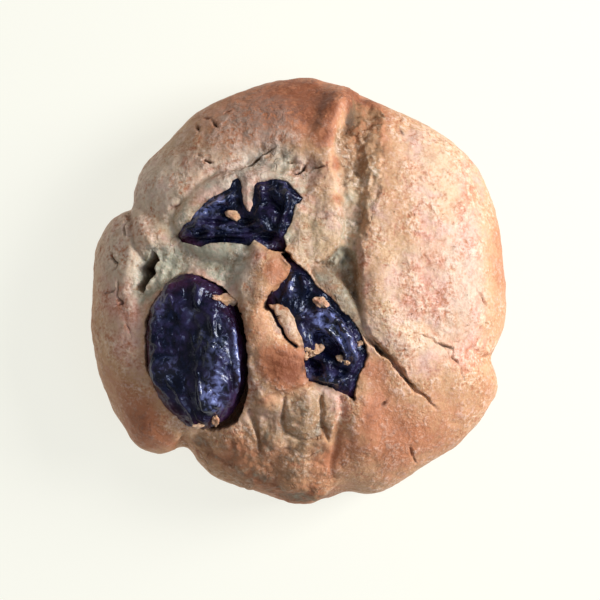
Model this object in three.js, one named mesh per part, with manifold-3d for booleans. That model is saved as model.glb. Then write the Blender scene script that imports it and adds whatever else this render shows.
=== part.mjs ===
// Raisin cookie: one thick drop cookie baked from a scoop of dough, with three large raisins set in its top.
// Units are millimetres, +Z is up, and the origin is the middle of the flat baked underside.
// The dough is one closed solid. Each raisin is a solid of its own that lies in a socket cut in the dough.

import * as THREE from "three";
import { mergeVertices } from "three/addons/utils/BufferGeometryUtils.js";
import Module from "manifold-3d";

// Driving dimensions of the dough.
const DOME_HEIGHT = 19; // top of the plain dome, before its swells and creases
const WAIST_HEIGHT = 5; // where the side is widest
const FOOT_SHARE = 0.92; // radius of the flat underside, as a share of the widest radius
const DOME_POWER = 0.8; // 1 gives an elliptical dome, and less gives fuller shoulders
const WAIST_TILT = 0.7; // share of the turn from top to bottom that the dome takes
const FOOT_TILT = 0.84; // share of that turn at which the underside begins
const DOUGH_DETAIL = 15; // splits of each icosahedron edge
const RAISIN_DETAIL = 5;
const CREASE_SIDES = 12; // sides of the section that cuts a crease
const SOCKET_GAP = 0.35; // free space between a raisin and the dough around it
const WINDOW_SHARE = 0.9; // part of a raisin's outline inside which the dough draws back from it
const WINDOW_DEPTH = 1.7;

// The outline seen from above: direction in degrees from +X, and radius.
const RIM = [
  [0, 28.1], [16, 28.2], [28, 29.1], [39, 29.4], [50, 28.5], [64, 27.5], [76, 27.9],
  [90, 28.9], [102, 28.1], [119, 27.9], [131, 27.0], [143, 27.0], [148, 26.2],
  [153, 25.2], [159, 27.1], [166, 27.7], [178, 27.7], [191, 28.6], [204, 29.3],
  [217, 30.0], [229, 29.0], [234, 26.0], [240, 26.7], [245, 27.6], [260, 27.9],
  [272, 28.9], [283, 27.9], [292, 29.3], [305, 29.1], [318, 29.9], [334, 30.1],
  [341, 27.8], [351, 28.2],
];

// Creases in the dough: each is a line of [x, y, half width, depth].
const CREASES = {
  mainSplit: [
    [9.2, 24.2, 1.4, 0.6], [9.1, 21.5, 2.2, 2.8], [8.2, 17.5, 2.5, 3.2], [8.2, 14, 2.1, 3.2],
    [8.3, 10.5, 1.6, 3.0], [7.3, 6.5, 1.9, 3.0], [6.8, 2.5, 1.6, 2.8], [7.2, -2, 1.4, 2.4],
    [8.4, -5.2, 1.0, 2.2], [11.6, -8.8, 0.8, 1.8], [14.3, -11.7, 0.7, 1.4], [17.7, -15, 0.4, 0.4],
  ],
  leftFold: [
    [-22.8, 11.6, 0.9, 1.8], [-21.8, 8.6, 0.8, 1.4], [-21.2, 6, 0.8, 1.4], [-19.8, 3.2, 1.0, 2.6],
    [-20.4, 0.6, 0.8, 1.6],
  ],
  lowerNotch: [[-15.7, -21.8, 1.2, 1.6], [-15.2, -19.6, 0.9, 1.2], [-14.6, -18, 0.7, 0.8]],
  sideNotch: [[27.5, -9.2, 1.0, 1.0], [24.5, -8.6, 0.8, 0.8], [21, -7.4, 0.5, 0.4]],
};

// Swells and hollows: [x, y, reach in x, reach in y, height].
const SWELLS = [
  [17, 6, 9, 15, 0.9], // smooth right-hand half
  [-8, 22, 11, 5, 0.7], // upper left lobe
  [-3.8, -1.5, 1.8, 6, 1.2], // bridge of dough between two raisins
  [-4.5, 8, 2, 4, 0.9], // flap that laps over the upper raisin
  [3, 13, 2.6, 8, 0.7], // crust beside the split
  [1.6, -16, 2.4, 3, 0.7], // lump below the middle
  [-7, -19, 3, 3, 0.5],
  [-13, 4.2, 6.5, 2.2, -1.4], // pale hollow between two raisins
  [4.2, -0.5, 2.6, 2.6, -0.8], // pale hollow beside the split
];

// Raisins: centre seen from above, half sizes across, along and through, turn about the dough's
// normal in degrees, and how far the middle lies below the dome.
const RAISINS = {
  raisin_left: { x: -13.6, y: -7.9, half: [6.9, 10.2, 4.2], turn: 5, sink: 3.4 },
  raisin_upper: { x: -7.3, y: 10.1, half: [9.1, 5.9, 3.6], turn: 10, sink: 3.4 },
  raisin_middle: { x: 2.8, y: -5.1, half: [5.2, 9.9, 3.8], turn: 29, sink: 3.6 },
};

const COLOURS = { dough: 0xc79a6b, raisin: 0x1d1426 };

const UP = new THREE.Vector3(0, 0, 1);
const radians = THREE.MathUtils.degToRad;

/** The rim's radius in a direction, on a cubic through the RIM points. */
function rimRadius(angle) {
  const degrees = THREE.MathUtils.euclideanModulo(THREE.MathUtils.radToDeg(angle), 360);
  const count = RIM.length;
  const at = (i) => {
    const lap = Math.floor(i / count);
    const [direction, radius] = RIM[i - lap * count];
    return [direction + 360 * lap, radius];
  };
  let i = 0;
  while (at(i + 1)[0] <= degrees) i += 1;
  const [before, from, to, after] = [at(i - 1), at(i), at(i + 1), at(i + 2)];
  const span = to[0] - from[0];
  const t = (degrees - from[0]) / span;
  const startSlope = ((to[1] - before[1]) / (to[0] - before[0])) * span;
  const endSlope = ((after[1] - from[1]) / (after[0] - from[0])) * span;
  return (
    (2 * t ** 3 - 3 * t ** 2 + 1) * from[1] +
    (t ** 3 - 2 * t ** 2 + t) * startSlope +
    (3 * t ** 2 - 2 * t ** 3) * to[1] +
    (t ** 3 - t ** 2) * endSlope
  );
}

/** How far the dough draws back at a point that lies over a raisin. */
function windowDepth({ x: cx, y: cy, half: [across, along], turn }, x, y) {
  const [cos, sin] = [Math.cos(radians(turn)), Math.sin(radians(turn))];
  const u = ((x - cx) * cos + (y - cy) * sin) / across;
  const v = ((y - cy) * cos - (x - cx) * sin) / along;
  const edge = Math.hypot(u, v) / WINDOW_SHARE;
  return WINDOW_DEPTH * (1 - THREE.MathUtils.smoothstep(edge, 0.8, 1.1));
}

/** Height added to the plain dome at a point seen from above. */
function relief(x, y) {
  const swell = SWELLS.reduce(
    (sum, [sx, sy, rx, ry, height]) =>
      sum + height * Math.exp(-(((x - sx) / rx) ** 2) - ((y - sy) / ry) ** 2),
    0,
  );
  const windows = Object.values(RAISINS).map((raisin) => windowDepth(raisin, x, y));
  return swell - Math.max(...windows);
}

/** Height of the plain dome above a share of the rim's radius. */
function domeHeight(share) {
  const rest = Math.max(0, 1 - share ** (2 / DOME_POWER));
  return WAIST_HEIGHT + (DOME_HEIGHT - WAIST_HEIGHT) * rest ** (DOME_POWER / 2);
}

/** Height of the plain dome above a point of the ground. */
function skinHeight(x, y) {
  return domeHeight(Math.hypot(x, y) / rimRadius(Math.atan2(y, x)));
}

/** Direction in which the plain dome faces above a point of the ground. */
function skinNormal(x, y) {
  const step = 0.5;
  return new THREE.Vector3(
    (skinHeight(x - step, y) - skinHeight(x + step, y)) / (2 * step),
    (skinHeight(x, y - step) - skinHeight(x, y + step)) / (2 * step),
    1,
  ).normalize();
}

/** A point of the dough's skin for a direction from its middle. */
function doughPoint(direction) {
  const turn = Math.acos(THREE.MathUtils.clamp(direction.z, -1, 1)) / Math.PI;
  const angle = Math.atan2(direction.y, direction.x);
  const rim = rimRadius(angle);
  const place = (share, z) =>
    new THREE.Vector3(share * rim * Math.cos(angle), share * rim * Math.sin(angle), z);
  if (turn >= FOOT_TILT) return place((FOOT_SHARE * (1 - turn)) / (1 - FOOT_TILT), 0);
  if (turn >= WAIST_TILT) {
    const curl = ((turn - WAIST_TILT) / (FOOT_TILT - WAIST_TILT)) * (Math.PI / 2);
    return place(
      FOOT_SHARE + (1 - FOOT_SHARE) * Math.cos(curl),
      WAIST_HEIGHT * (1 - Math.sin(curl)),
    );
  }
  const rise = (turn / WAIST_TILT) * (Math.PI / 2);
  const share = Math.sin(rise) ** DOME_POWER;
  const point = place(share, domeHeight(share));
  point.z += relief(point.x, point.y) * Math.cos(rise) ** 0.5;
  return point;
}

/** A closed geometry whose shared vertices are merged and moved by a function. */
function movedGeometry(geometry, move) {
  geometry.deleteAttribute("normal");
  geometry.deleteAttribute("uv");
  const merged = mergeVertices(geometry, 1e-5);
  const places = merged.getAttribute("position");
  const point = new THREE.Vector3();
  for (let i = 0; i < places.count; i += 1) {
    point.fromBufferAttribute(places, i);
    const moved = move(point);
    places.setXYZ(i, moved.x, moved.y, moved.z);
  }
  return merged;
}

/** A flattened, faintly wrinkled raisin about its own middle, grown outwards by a margin. */
function raisinGeometry([across, along, through], margin) {
  return movedGeometry(new THREE.IcosahedronGeometry(1, RAISIN_DETAIL), (direction) => {
    const flat = Math.hypot(direction.x, direction.y);
    const spread = flat > 0 ? flat ** DOME_POWER / flat : 0;
    const wrinkle = 1 + 0.02 * Math.sin(5 * direction.x + 3) * Math.sin(7 * direction.y);
    return new THREE.Vector3(
      direction.x * spread * (across + margin) * wrinkle,
      direction.y * spread * (along + margin) * wrinkle,
      Math.sign(direction.z) * Math.abs(direction.z) ** DOME_POWER * (through + margin),
    );
  });
}

/** Stands a raisin's object in the dome, leaning with the dome's slope at its place. */
function seatRaisin(object, { x, y, turn, sink }) {
  const normal = skinNormal(x, y);
  const lean = new THREE.Quaternion().setFromUnitVectors(UP, normal);
  const yaw = new THREE.Quaternion().setFromAxisAngle(UP, radians(turn));
  object.quaternion.copy(lean).multiply(yaw);
  object.position.set(x, y, skinHeight(x, y)).addScaledVector(normal, -sink);
  object.updateMatrix();
}

/** A solid that cuts one crease: it follows the crease's line on the dome, and tapers at both ends. */
function creaseGeometry(line) {
  const path = new THREE.CatmullRomCurve3(
    line.map(([x, y]) => new THREE.Vector3(x, y, skinHeight(x, y) + relief(x, y))),
  );
  const sizeAt = (t, column) => {
    const place = t * (line.length - 1);
    const from = Math.min(Math.floor(place), line.length - 2);
    return THREE.MathUtils.lerp(line[from][column], line[from + 1][column], place - from);
  };
  const rod = new THREE.SphereGeometry(1, CREASE_SIDES, 2 * line.length + 2);
  return movedGeometry(rod, ({ x, y, z }) => {
    const along = Math.acos(THREE.MathUtils.clamp(y, -1, 1)) / Math.PI;
    const ring = Math.hypot(x, z);
    const place = path.getPoint(along);
    if (ring < 1e-6) return place;
    const taper = Math.min(1, 3 * ring) / ring;
    const out = skinNormal(place.x, place.y);
    const side = path.getTangent(along).cross(out).normalize();
    return place
      .addScaledVector(side, z * taper * sizeAt(along, 2))
      .addScaledVector(out, x * taper * sizeAt(along, 3));
  });
}

const wasm = await Module();
wasm.setup();

/** A closed indexed geometry as a manifold-3d solid. */
function toSolid(geometry) {
  return new wasm.Manifold(
    new wasm.Mesh({
      numProp: 3,
      vertProperties: new Float32Array(geometry.getAttribute("position").array),
      triVerts: new Uint32Array(geometry.index.array),
    }),
  );
}

/** A manifold-3d solid as a three.js geometry. */
function toGeometry(solid) {
  const mesh = solid.getMesh();
  return new THREE.BufferGeometry()
    .setAttribute("position", new THREE.BufferAttribute(mesh.vertProperties, 3))
    .setIndex(new THREE.BufferAttribute(mesh.triVerts, 1));
}

/** The largest of a solid's separate bodies, so that no loose sliver is left by a cut. */
function largestBody(solid) {
  return solid.decompose().reduce((best, body) => (body.volume() > best.volume() ? body : best));
}

/** One raisin, placed where it lies in the dough. */
function makeRaisin(name, raisin) {
  const skin = new THREE.MeshStandardMaterial({ color: COLOURS.raisin, roughness: 0.25, metalness: 0 });
  const mesh = new THREE.Mesh(raisinGeometry(raisin.half, 0), skin);
  mesh.name = name;
  seatRaisin(mesh, raisin);
  return mesh;
}

/** The dough, with its creases and a socket for each raisin cut into it. */
function makeDough() {
  let solid = toSolid(movedGeometry(new THREE.IcosahedronGeometry(1, DOUGH_DETAIL), doughPoint));
  for (const line of Object.values(CREASES)) solid = solid.subtract(toSolid(creaseGeometry(line)));
  for (const raisin of Object.values(RAISINS)) {
    const cutter = new THREE.Object3D();
    seatRaisin(cutter, raisin);
    const socket = raisinGeometry(raisin.half, SOCKET_GAP).applyMatrix4(cutter.matrix);
    solid = solid.subtract(toSolid(socket));
  }
  const crust = new THREE.MeshStandardMaterial({ color: COLOURS.dough, roughness: 0.85, metalness: 0 });
  const mesh = new THREE.Mesh(toGeometry(largestBody(solid)), crust);
  mesh.name = "dough";
  return mesh;
}

const cookie = new THREE.Group();
cookie.add(makeDough());
for (const [name, raisin] of Object.entries(RAISINS)) cookie.add(makeRaisin(name, raisin));

export default cookie;
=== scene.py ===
"""A raisin cookie: one thick drop cookie with a cracked, domed crust and three large raisins.

Shapes are worked out in millimetres over the cookie's plan, and each finished mesh is in metres.
Places lower than UNDERSIDE are in the flat underside. Where lumps() gives LEVEL_LUMP, it leaves
the dough level.
"""

import logging  # noqa: E402
import math  # noqa: E402
from collections.abc import Callable, Iterable  # noqa: E402
from dataclasses import dataclass, field  # noqa: E402
from enum import Enum  # noqa: E402
from typing import Self  # noqa: E402

import bmesh  # noqa: E402
import bpy  # noqa: E402
import numpy as np  # noqa: E402
from mathutils import Matrix, Quaternion, Vector, noise  # noqa: E402
from mathutils.bvhtree import BVHTree  # noqa: E402


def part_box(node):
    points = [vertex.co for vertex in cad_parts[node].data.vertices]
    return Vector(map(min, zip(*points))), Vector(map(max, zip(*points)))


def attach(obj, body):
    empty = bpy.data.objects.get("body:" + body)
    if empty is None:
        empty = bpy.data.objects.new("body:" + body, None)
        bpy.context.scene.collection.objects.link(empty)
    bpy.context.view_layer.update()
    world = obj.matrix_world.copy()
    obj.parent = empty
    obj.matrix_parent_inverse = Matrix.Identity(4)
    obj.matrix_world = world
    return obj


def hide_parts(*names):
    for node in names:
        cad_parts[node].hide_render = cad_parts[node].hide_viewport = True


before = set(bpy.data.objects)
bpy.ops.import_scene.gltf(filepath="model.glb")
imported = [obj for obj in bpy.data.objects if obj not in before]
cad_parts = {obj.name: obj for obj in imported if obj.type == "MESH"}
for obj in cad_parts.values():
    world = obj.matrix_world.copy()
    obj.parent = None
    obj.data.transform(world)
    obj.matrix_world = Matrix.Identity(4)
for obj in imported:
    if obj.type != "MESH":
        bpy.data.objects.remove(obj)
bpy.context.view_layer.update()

log = logging.getLogger("cookie")

MM = 0.001
BODY = "root"
UNDERSIDE = 0.01
LEVEL_LUMP = 0.6

Row = tuple[float, ...]
Rows = tuple[Row, ...]
Array = np.ndarray
Pair = tuple[Array, Array]


# ---------------------------------------------------------------- plan tools


def ease(value: Array, start: float, end: float) -> Array:
    """Smooth step from 0 at start to 1 at end.

    Args:
        value: Numbers to map.
        start: Value that maps to 0.
        end: Value that maps to 1.

    Returns:
        The mapped numbers, from 0 to 1.
    """
    t = np.clip((value - start) / (end - start), 0.0, 1.0)
    return t * t * (3.0 - 2.0 * t)


def grain(places: Array, size: float, seed: float = 0.0) -> Array:
    """Smooth noise over places.

    Args:
        places: Points in millimetres, one a row.
        size: Width of the noise's lumps in millimetres.
        seed: Picks another pattern.

    Returns:
        One number for each place, from about -1 to 1.
    """
    shift = np.array((17.31 * seed + 3.7, -9.17 * seed + 1.3, 5.71 * seed + 8.1))
    scaled = (places / size + shift).tolist()
    return np.fromiter((noise.noise(p) for p in scaled), float, len(scaled))


def lumps(places: Array, size: float, seed: float = 0.0) -> Array:
    """Rounded lumps packed side by side, as in coarse dough.

    Args:
        places: Points in millimetres, one a row.
        size: Width of a lump in millimetres.
        seed: Picks another pattern.

    Returns:
        Height from 0 in the seams to about 1 on the lumps.
    """
    shift = np.array((7.77 * seed + 0.4, 3.31 * seed + 5.2, -4.13 * seed + 2.6))
    scaled = (places / size + shift).tolist()
    near = np.fromiter((noise.voronoi(p)[0][0] for p in scaled), float, len(scaled))
    return 1.0 - np.clip(near * 1.25, 0.0, 1.0) ** 2


def folds(places: Array, size: float, seed: float = 0.0) -> Array:
    """Narrow ridges between broad dips, as on dried skin.

    Args:
        places: Points in millimetres, one a row.
        size: Width of a fold in millimetres.
        seed: Picks another pattern.

    Returns:
        Height from 0 in the dips to 1 on the ridges.
    """
    return 1.0 - np.clip(np.abs(grain(places, size, seed)) * 2.2, 0.0, 1.0)


@dataclass(frozen=True)
class Trail:
    """A line over the cookie's plan.

    Each row is x, y and then any sizes that change along the line.
    """

    rows: Rows

    def follow(self, x: Array, y: Array) -> tuple[Array, Array]:
        """Finds the nearest point of the line.

        Args:
            x: Places across the plan.
            y: Places up the plan.

        Returns:
            The distance, positive to the line's left, and the sizes there, one row for each.
        """
        best = np.full(x.shape, np.inf)
        side = np.ones_like(x)
        sizes = np.zeros((len(self.rows[0]) - 2, *x.shape))
        for start, end in zip(self.rows, self.rows[1:]):
            dx, dy = end[0] - start[0], end[1] - start[1]
            t = np.clip(((x - start[0]) * dx + (y - start[1]) * dy) / (dx * dx + dy * dy), 0, 1)
            away = np.hypot(x - start[0] - t * dx, y - start[1] - t * dy)
            nearer = away < best
            best = np.where(nearer, away, best)
            side = np.where(nearer, np.sign(dx * (y - start[1]) - dy * (x - start[0])), side)
            for row, (a, b) in enumerate(zip(start[2:], end[2:])):
                sizes[row] = np.where(nearer, a + t * (b - a), sizes[row])
        return best * np.where(side == 0, 1.0, side), sizes

    def tips(self, x: Array, y: Array) -> Array:
        """Tells how far the line has grown to its full size, so that its two ends taper out.

        Args:
            x: Places across the plan.
            y: Places up the plan.

        Returns:
            A share from 0 at the ends to 1.
        """
        first, last = self.rows[0], self.rows[-1]
        near = np.minimum(
            np.hypot(x - first[0], y - first[1]), np.hypot(x - last[0], y - last[1])
        )
        return ease(near, -0.2, 0.7)


@dataclass(frozen=True)
class Swell:
    """A rounded rise, or a hollow if its height is negative."""

    x: float
    y: float
    across: float
    along: float
    height: float
    turn: float = 0.0
    flat: float = 1.0

    def at(self, x: Array, y: Array) -> Array:
        """Works out the swell over the plan.

        Args:
            x: Places across the plan.
            y: Places up the plan.

        Returns:
            Its height at each place.
        """
        cos, sin = math.cos(math.radians(self.turn)), math.sin(math.radians(self.turn))
        u = ((x - self.x) * cos + (y - self.y) * sin) / self.across
        v = ((y - self.y) * cos - (x - self.x) * sin) / self.along
        return self.height * np.exp(-((u * u + v * v) ** self.flat))


@dataclass(frozen=True)
class LineShape:
    """A shape that follows a line over the plan."""

    line: Trail

    @classmethod
    def along(cls, *rows: Row) -> Self:
        """The shape along the line that the rows give."""
        return cls(Trail(rows))


@dataclass(frozen=True)
class Ridge(LineShape):
    """A rounded rise that follows a line. Rows hold x, y, half width and height."""

    flat: float = 1.3

    def at(self, x: Array, y: Array) -> Array:
        """Height of the ridge over the plan."""
        away, (half, height) = self.line.follow(x, y)
        return height * np.exp(-((away / half) ** 2) ** self.flat)


@dataclass(frozen=True)
class Split(LineShape):
    """A torn crease. Rows hold x, y, half width to the left, half width to the right and depth."""

    left_floor: float = 0.25
    right_floor: float = 0.25

    def at(self, x: Array, y: Array) -> Array:
        """Works out the crease over the plan.

        Args:
            x: Places across the plan.
            y: Places up the plan.

        Returns:
            Its depth at each place.
        """
        away, (left, right, depth) = self.line.follow(x, y)
        reach = np.where(away > 0, away / left, -away / right)
        floor = np.where(away > 0, self.left_floor, self.right_floor)
        wall = np.clip((reach - floor) / (1.0 - floor), 0.0, 1.0)
        return depth * (1.0 - 0.6 * wall - 0.4 * ease(wall, 0.0, 1.0))


@dataclass(frozen=True)
class Crack(LineShape):
    """A fine crack. Rows hold x, y, half width and depth."""

    def at(self, x: Array, y: Array) -> Array:
        """Depth of the crack over the plan."""
        away, (half, depth) = self.line.follow(x, y)
        return depth * (1.0 - ease(np.abs(away) / half, 0.15, 1.0)) * self.line.tips(x, y)


@dataclass(frozen=True)
class Ledge(LineShape):
    """A lip of crust: the plan drops to the right of the line, and comes back further out.

    Rows hold x, y, the drop and the distance over which it comes back.
    """

    def at(self, x: Array, y: Array) -> Array:
        """Works out the drop over the plan.

        Args:
            x: Places across the plan.
            y: Places up the plan.

        Returns:
            The depth below the lip at each place.
        """
        away, (drop, reach) = self.line.follow(x, y)
        fall = ease(-away, -0.1, 0.25) * np.exp(-((np.maximum(-away, 0) / reach) ** 2))
        return drop * fall * self.line.tips(x, y)


@dataclass(frozen=True)
class Patch:
    """An area of the plan inside a closed outline."""

    outline: tuple[tuple[float, float], ...]

    def inside(self, x: Array, y: Array) -> Array:
        """Distance to the outline, positive inside it.

        Args:
            x: Places across the plan.
            y: Places up the plan.

        Returns:
            The signed distances.
        """
        within = np.zeros(x.shape, bool)
        best = np.full(x.shape, np.inf)
        for (ax, ay), (bx, by) in zip(self.outline, self.outline[1:] + self.outline[:1]):
            dx, dy = bx - ax, by - ay
            t = np.clip(((x - ax) * dx + (y - ay) * dy) / (dx * dx + dy * dy), 0, 1)
            best = np.minimum(best, np.hypot(x - ax - t * dx, y - ay - t * dy))
            crosses = (ay > y) != (by > y)
            reach = ax + (y - ay) * dx / (dy if dy else 1e-9)
            within ^= crosses & (x < reach)
        return np.where(within, best, -best)

    def share(self, x: Array, y: Array, soft: float) -> Array:
        """How far a place is inside the outline, from 0 to 1, over a soft edge."""
        return ease(self.inside(x, y), -0.5 * soft, 0.5 * soft)


def total(shapes: Iterable[Swell | Ridge | Split | Crack | Ledge], x: Array, y: Array) -> Array:
    """Sum of the heights or depths of several shapes over the plan."""
    return sum((shape.at(x, y) for shape in shapes), np.zeros_like(x))


def deepest(shapes: Iterable[Split | Crack | Ledge], x: Array, y: Array) -> Array:
    """Finds the greatest of the depths of several shapes over the plan.

    Args:
        shapes: The creases, cracks or ledges.
        x: Places across the plan.
        y: Places up the plan.

    Returns:
        The greatest depth at each place, 0 where none reaches.
    """
    best = np.zeros_like(x)
    for shape in shapes:
        best = np.maximum(best, shape.at(x, y))
    return best


# ---------------------------------------------------------------- node tools


@dataclass(frozen=True)
class Wire:
    """One output in a material's node tree, for use in Python expressions."""

    bench: "NodeBench"
    socket: bpy.types.NodeSocket

    def __add__(self, other: "Wire | float") -> "Wire":
        """Sum."""
        return self.bench.math("ADD", self, other)

    __radd__ = __add__

    def __sub__(self, other: "Wire | float") -> "Wire":
        """Difference."""
        return self.bench.math("SUBTRACT", self, other)

    def __rsub__(self, other: float) -> "Wire":
        """Difference from a number."""
        return self.bench.math("SUBTRACT", other, self)

    def __mul__(self, other: "Wire | float") -> "Wire":
        """Product."""
        return self.bench.math("MULTIPLY", self, other)

    __rmul__ = __mul__

    def __truediv__(self, other: "Wire | float") -> "Wire":
        """Quotient."""
        return self.bench.math("DIVIDE", self, other)

    def __rtruediv__(self, other: float) -> "Wire":
        """Quotient of a number."""
        return self.bench.math("DIVIDE", other, self)

    def __pow__(self, other: "Wire | float") -> "Wire":
        """Power."""
        return self.bench.math("POWER", self, other)

    def about(self, amount: float) -> "Wire":
        """A noise of 0 to 1 moved to lie about 0, times an amount."""
        return (self - 0.5) * amount

    def clamp(self) -> "Wire":
        """The value held between 0 and 1."""
        return self.bench.node("ShaderNodeClamp", inputs={"Value": self})

    def step(self, start: float, end: float) -> "Wire":
        """Smooth step of the value.

        Args:
            start: Value that maps to 0.
            end: Value that maps to 1.

        Returns:
            The mapped value, from 0 to 1.
        """
        settings = {"interpolation_type": "SMOOTHSTEP"}
        inputs = {"Value": self, "From Min": start, "From Max": end}
        return self.bench.node("ShaderNodeMapRange", settings, inputs)


Value = Wire | float | tuple[float, ...]


class NodeBench:
    """Builds one material's node tree from expressions."""

    def __init__(self, name: str) -> None:
        """Starts an empty material.

        Args:
            name: The material's name.
        """
        self.material = bpy.data.materials.new(name)
        self.material.use_nodes = True
        self.tree = self.material.node_tree
        self.tree.nodes.clear()

    def node(
        self,
        kind: str,
        settings: dict[str, object] | None = None,
        inputs: dict[str | int, Value] | None = None,
        output: str | int = 0,
    ) -> Wire:
        """Adds a node.

        Args:
            kind: Blender's node type.
            settings: The node's own properties.
            inputs: A value or a wire for each input that isn't left at its default.
            output: The output that is wanted.

        Returns:
            That output.
        """
        made = self.tree.nodes.new(kind)
        for key, value in (settings or {}).items():
            setattr(made, key, value)
        for key, value in (inputs or {}).items():
            self.feed(made.inputs[key], value)
        return Wire(self, made.outputs[output])

    def feed(self, socket: bpy.types.NodeSocket, value: Value) -> None:
        """Sets a socket to a value, or links a wire to it.

        Args:
            socket: The input.
            value: What it gets. A colour of three parts is made opaque.
        """
        if isinstance(value, Wire):
            self.tree.links.new(value.socket, socket)
        elif isinstance(value, tuple) and len(value) == 3 and socket.type == "RGBA":
            socket.default_value = (*value, 1.0)
        else:
            socket.default_value = value

    def math(self, operation: str, a: Value, b: Value) -> Wire:
        """Adds a Math node."""
        return self.node("ShaderNodeMath", {"operation": operation}, {0: a, 1: b})

    def blend(self, share: Value, a: Value, b: Value, mode: str = "MIX") -> Wire:
        """Mixes two colours.

        Args:
            share: How much of the second colour shows.
            a: First colour.
            b: Second colour.
            mode: Blender's blend type.

        Returns:
            The mixed colour.
        """
        settings = {"data_type": "RGBA", "blend_type": mode}
        return self.node("ShaderNodeMix", settings, {0: share, 6: a, 7: b}, 2)

    def place(self) -> Wire:
        """Reads the piece's own coordinates.

        Returns:
            The place in millimetres.
        """
        where = self.node("ShaderNodeTexCoord", output="Object")
        inputs = {0: where, 1: (1000.0, 1000.0, 1000.0)}
        return self.node("ShaderNodeVectorMath", {"operation": "MULTIPLY"}, inputs)

    def noise(self, where: Wire, size: float, detail: float = 3.0, rough: float = 0.55) -> Wire:
        """Noise from 0 to 1 whose lumps are about size millimetres wide."""
        inputs = {"Vector": where, "Scale": 1.0 / size, "Detail": detail, "Roughness": rough}
        return self.node("ShaderNodeTexNoise", inputs=inputs)

    def warp(self, where: Wire, size: float, amount: float) -> Wire:
        """Moves places about, so that a pattern on them bends.

        Args:
            where: The places in millimetres.
            size: Width of the bends in millimetres.
            amount: Twice the farthest that a place moves, in millimetres.

        Returns:
            The moved places.
        """
        inputs = {"Vector": where, "Scale": 1.0 / size, "Detail": 2.0}
        swirl = self.node("ShaderNodeTexNoise", inputs=inputs, output="Color")
        centred = {0: swirl, 1: (amount,) * 3, 2: (-0.5 * amount,) * 3}
        moved = self.node("ShaderNodeVectorMath", {"operation": "MULTIPLY_ADD"}, centred)
        return self.node("ShaderNodeVectorMath", {"operation": "ADD"}, {0: where, 1: moved})

    def cells(self, where: Wire, size: float, feature: str = "F1") -> Wire:
        """Distance to the nearest cell point, or to the nearest cell edge."""
        inputs = {"Vector": where, "Scale": 1.0 / size}
        return self.node("ShaderNodeTexVoronoi", {"feature": feature}, inputs, "Distance")

    def creases(self, where: Wire, size: float, width: float) -> Wire:
        """Thin bent lines: 1 on the lines and 0 between them."""
        away = self.math("ABSOLUTE", self.noise(where, size, 2.0, 0.5) - 0.5, 0.0)
        return away.step(width, 0.0)

    def painted(self, name: str) -> Wire:
        """A number painted on the mesh."""
        return self.node("ShaderNodeAttribute", {"attribute_name": name}, output="Fac")

    def bump(
        self, height: Wire, distance: float, strength: float, under: Wire | None = None
    ) -> Wire:
        """Adds a Bump node.

        Args:
            height: Height from 0 to 1.
            distance: Millimetres that a height of 1 stands for.
            strength: Share of the bump that shows.
            under: A bump that this one adds to.

        Returns:
            The bumped normal.
        """
        inputs: dict[str | int, Value] = {
            "Height": height,
            "Distance": distance * MM,
            "Strength": strength,
        }
        if under is not None:
            inputs["Normal"] = under
        return self.node("ShaderNodeBump", inputs=inputs)

    def finish(self, inputs: dict[str | int, Value]) -> bpy.types.Material:
        """Ends the tree in one Principled surface.

        Args:
            inputs: A value or a wire for each of the surface's inputs.

        Returns:
            The finished material.
        """
        surface = self.node("ShaderNodeBsdfPrincipled", inputs=inputs)
        out = self.tree.nodes.new("ShaderNodeOutputMaterial")
        self.tree.links.new(surface.socket, out.inputs["Surface"])
        return self.material


# ---------------------------------------------------------------- finishes


class Paint(Enum):
    """Numbers painted on the dough's mesh for its finish."""

    # Browning, and in some places painted shade and painted highlights.
    BAKE = "bake"
    CREAM = "cream"
    # Flour dust, and in some places painted shade.
    FLOUR = "flour"
    # Painted shade in the cracks, nooks, dark hole and valley and under the raisins, and the stains
    # round the raisins.
    PIT = "pit"
    CRUMB = "crumb"
    BLUSH = "blush"


@dataclass(frozen=True)
class CrustNoise:
    """The crust's noises, from broad to fine, and its pores and hairline cracks."""

    patchy: Wire
    cloud: Wire
    blotch: Wire
    grit: Wire
    dust: Wire
    pores: Wire
    hairline: Wire


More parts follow.
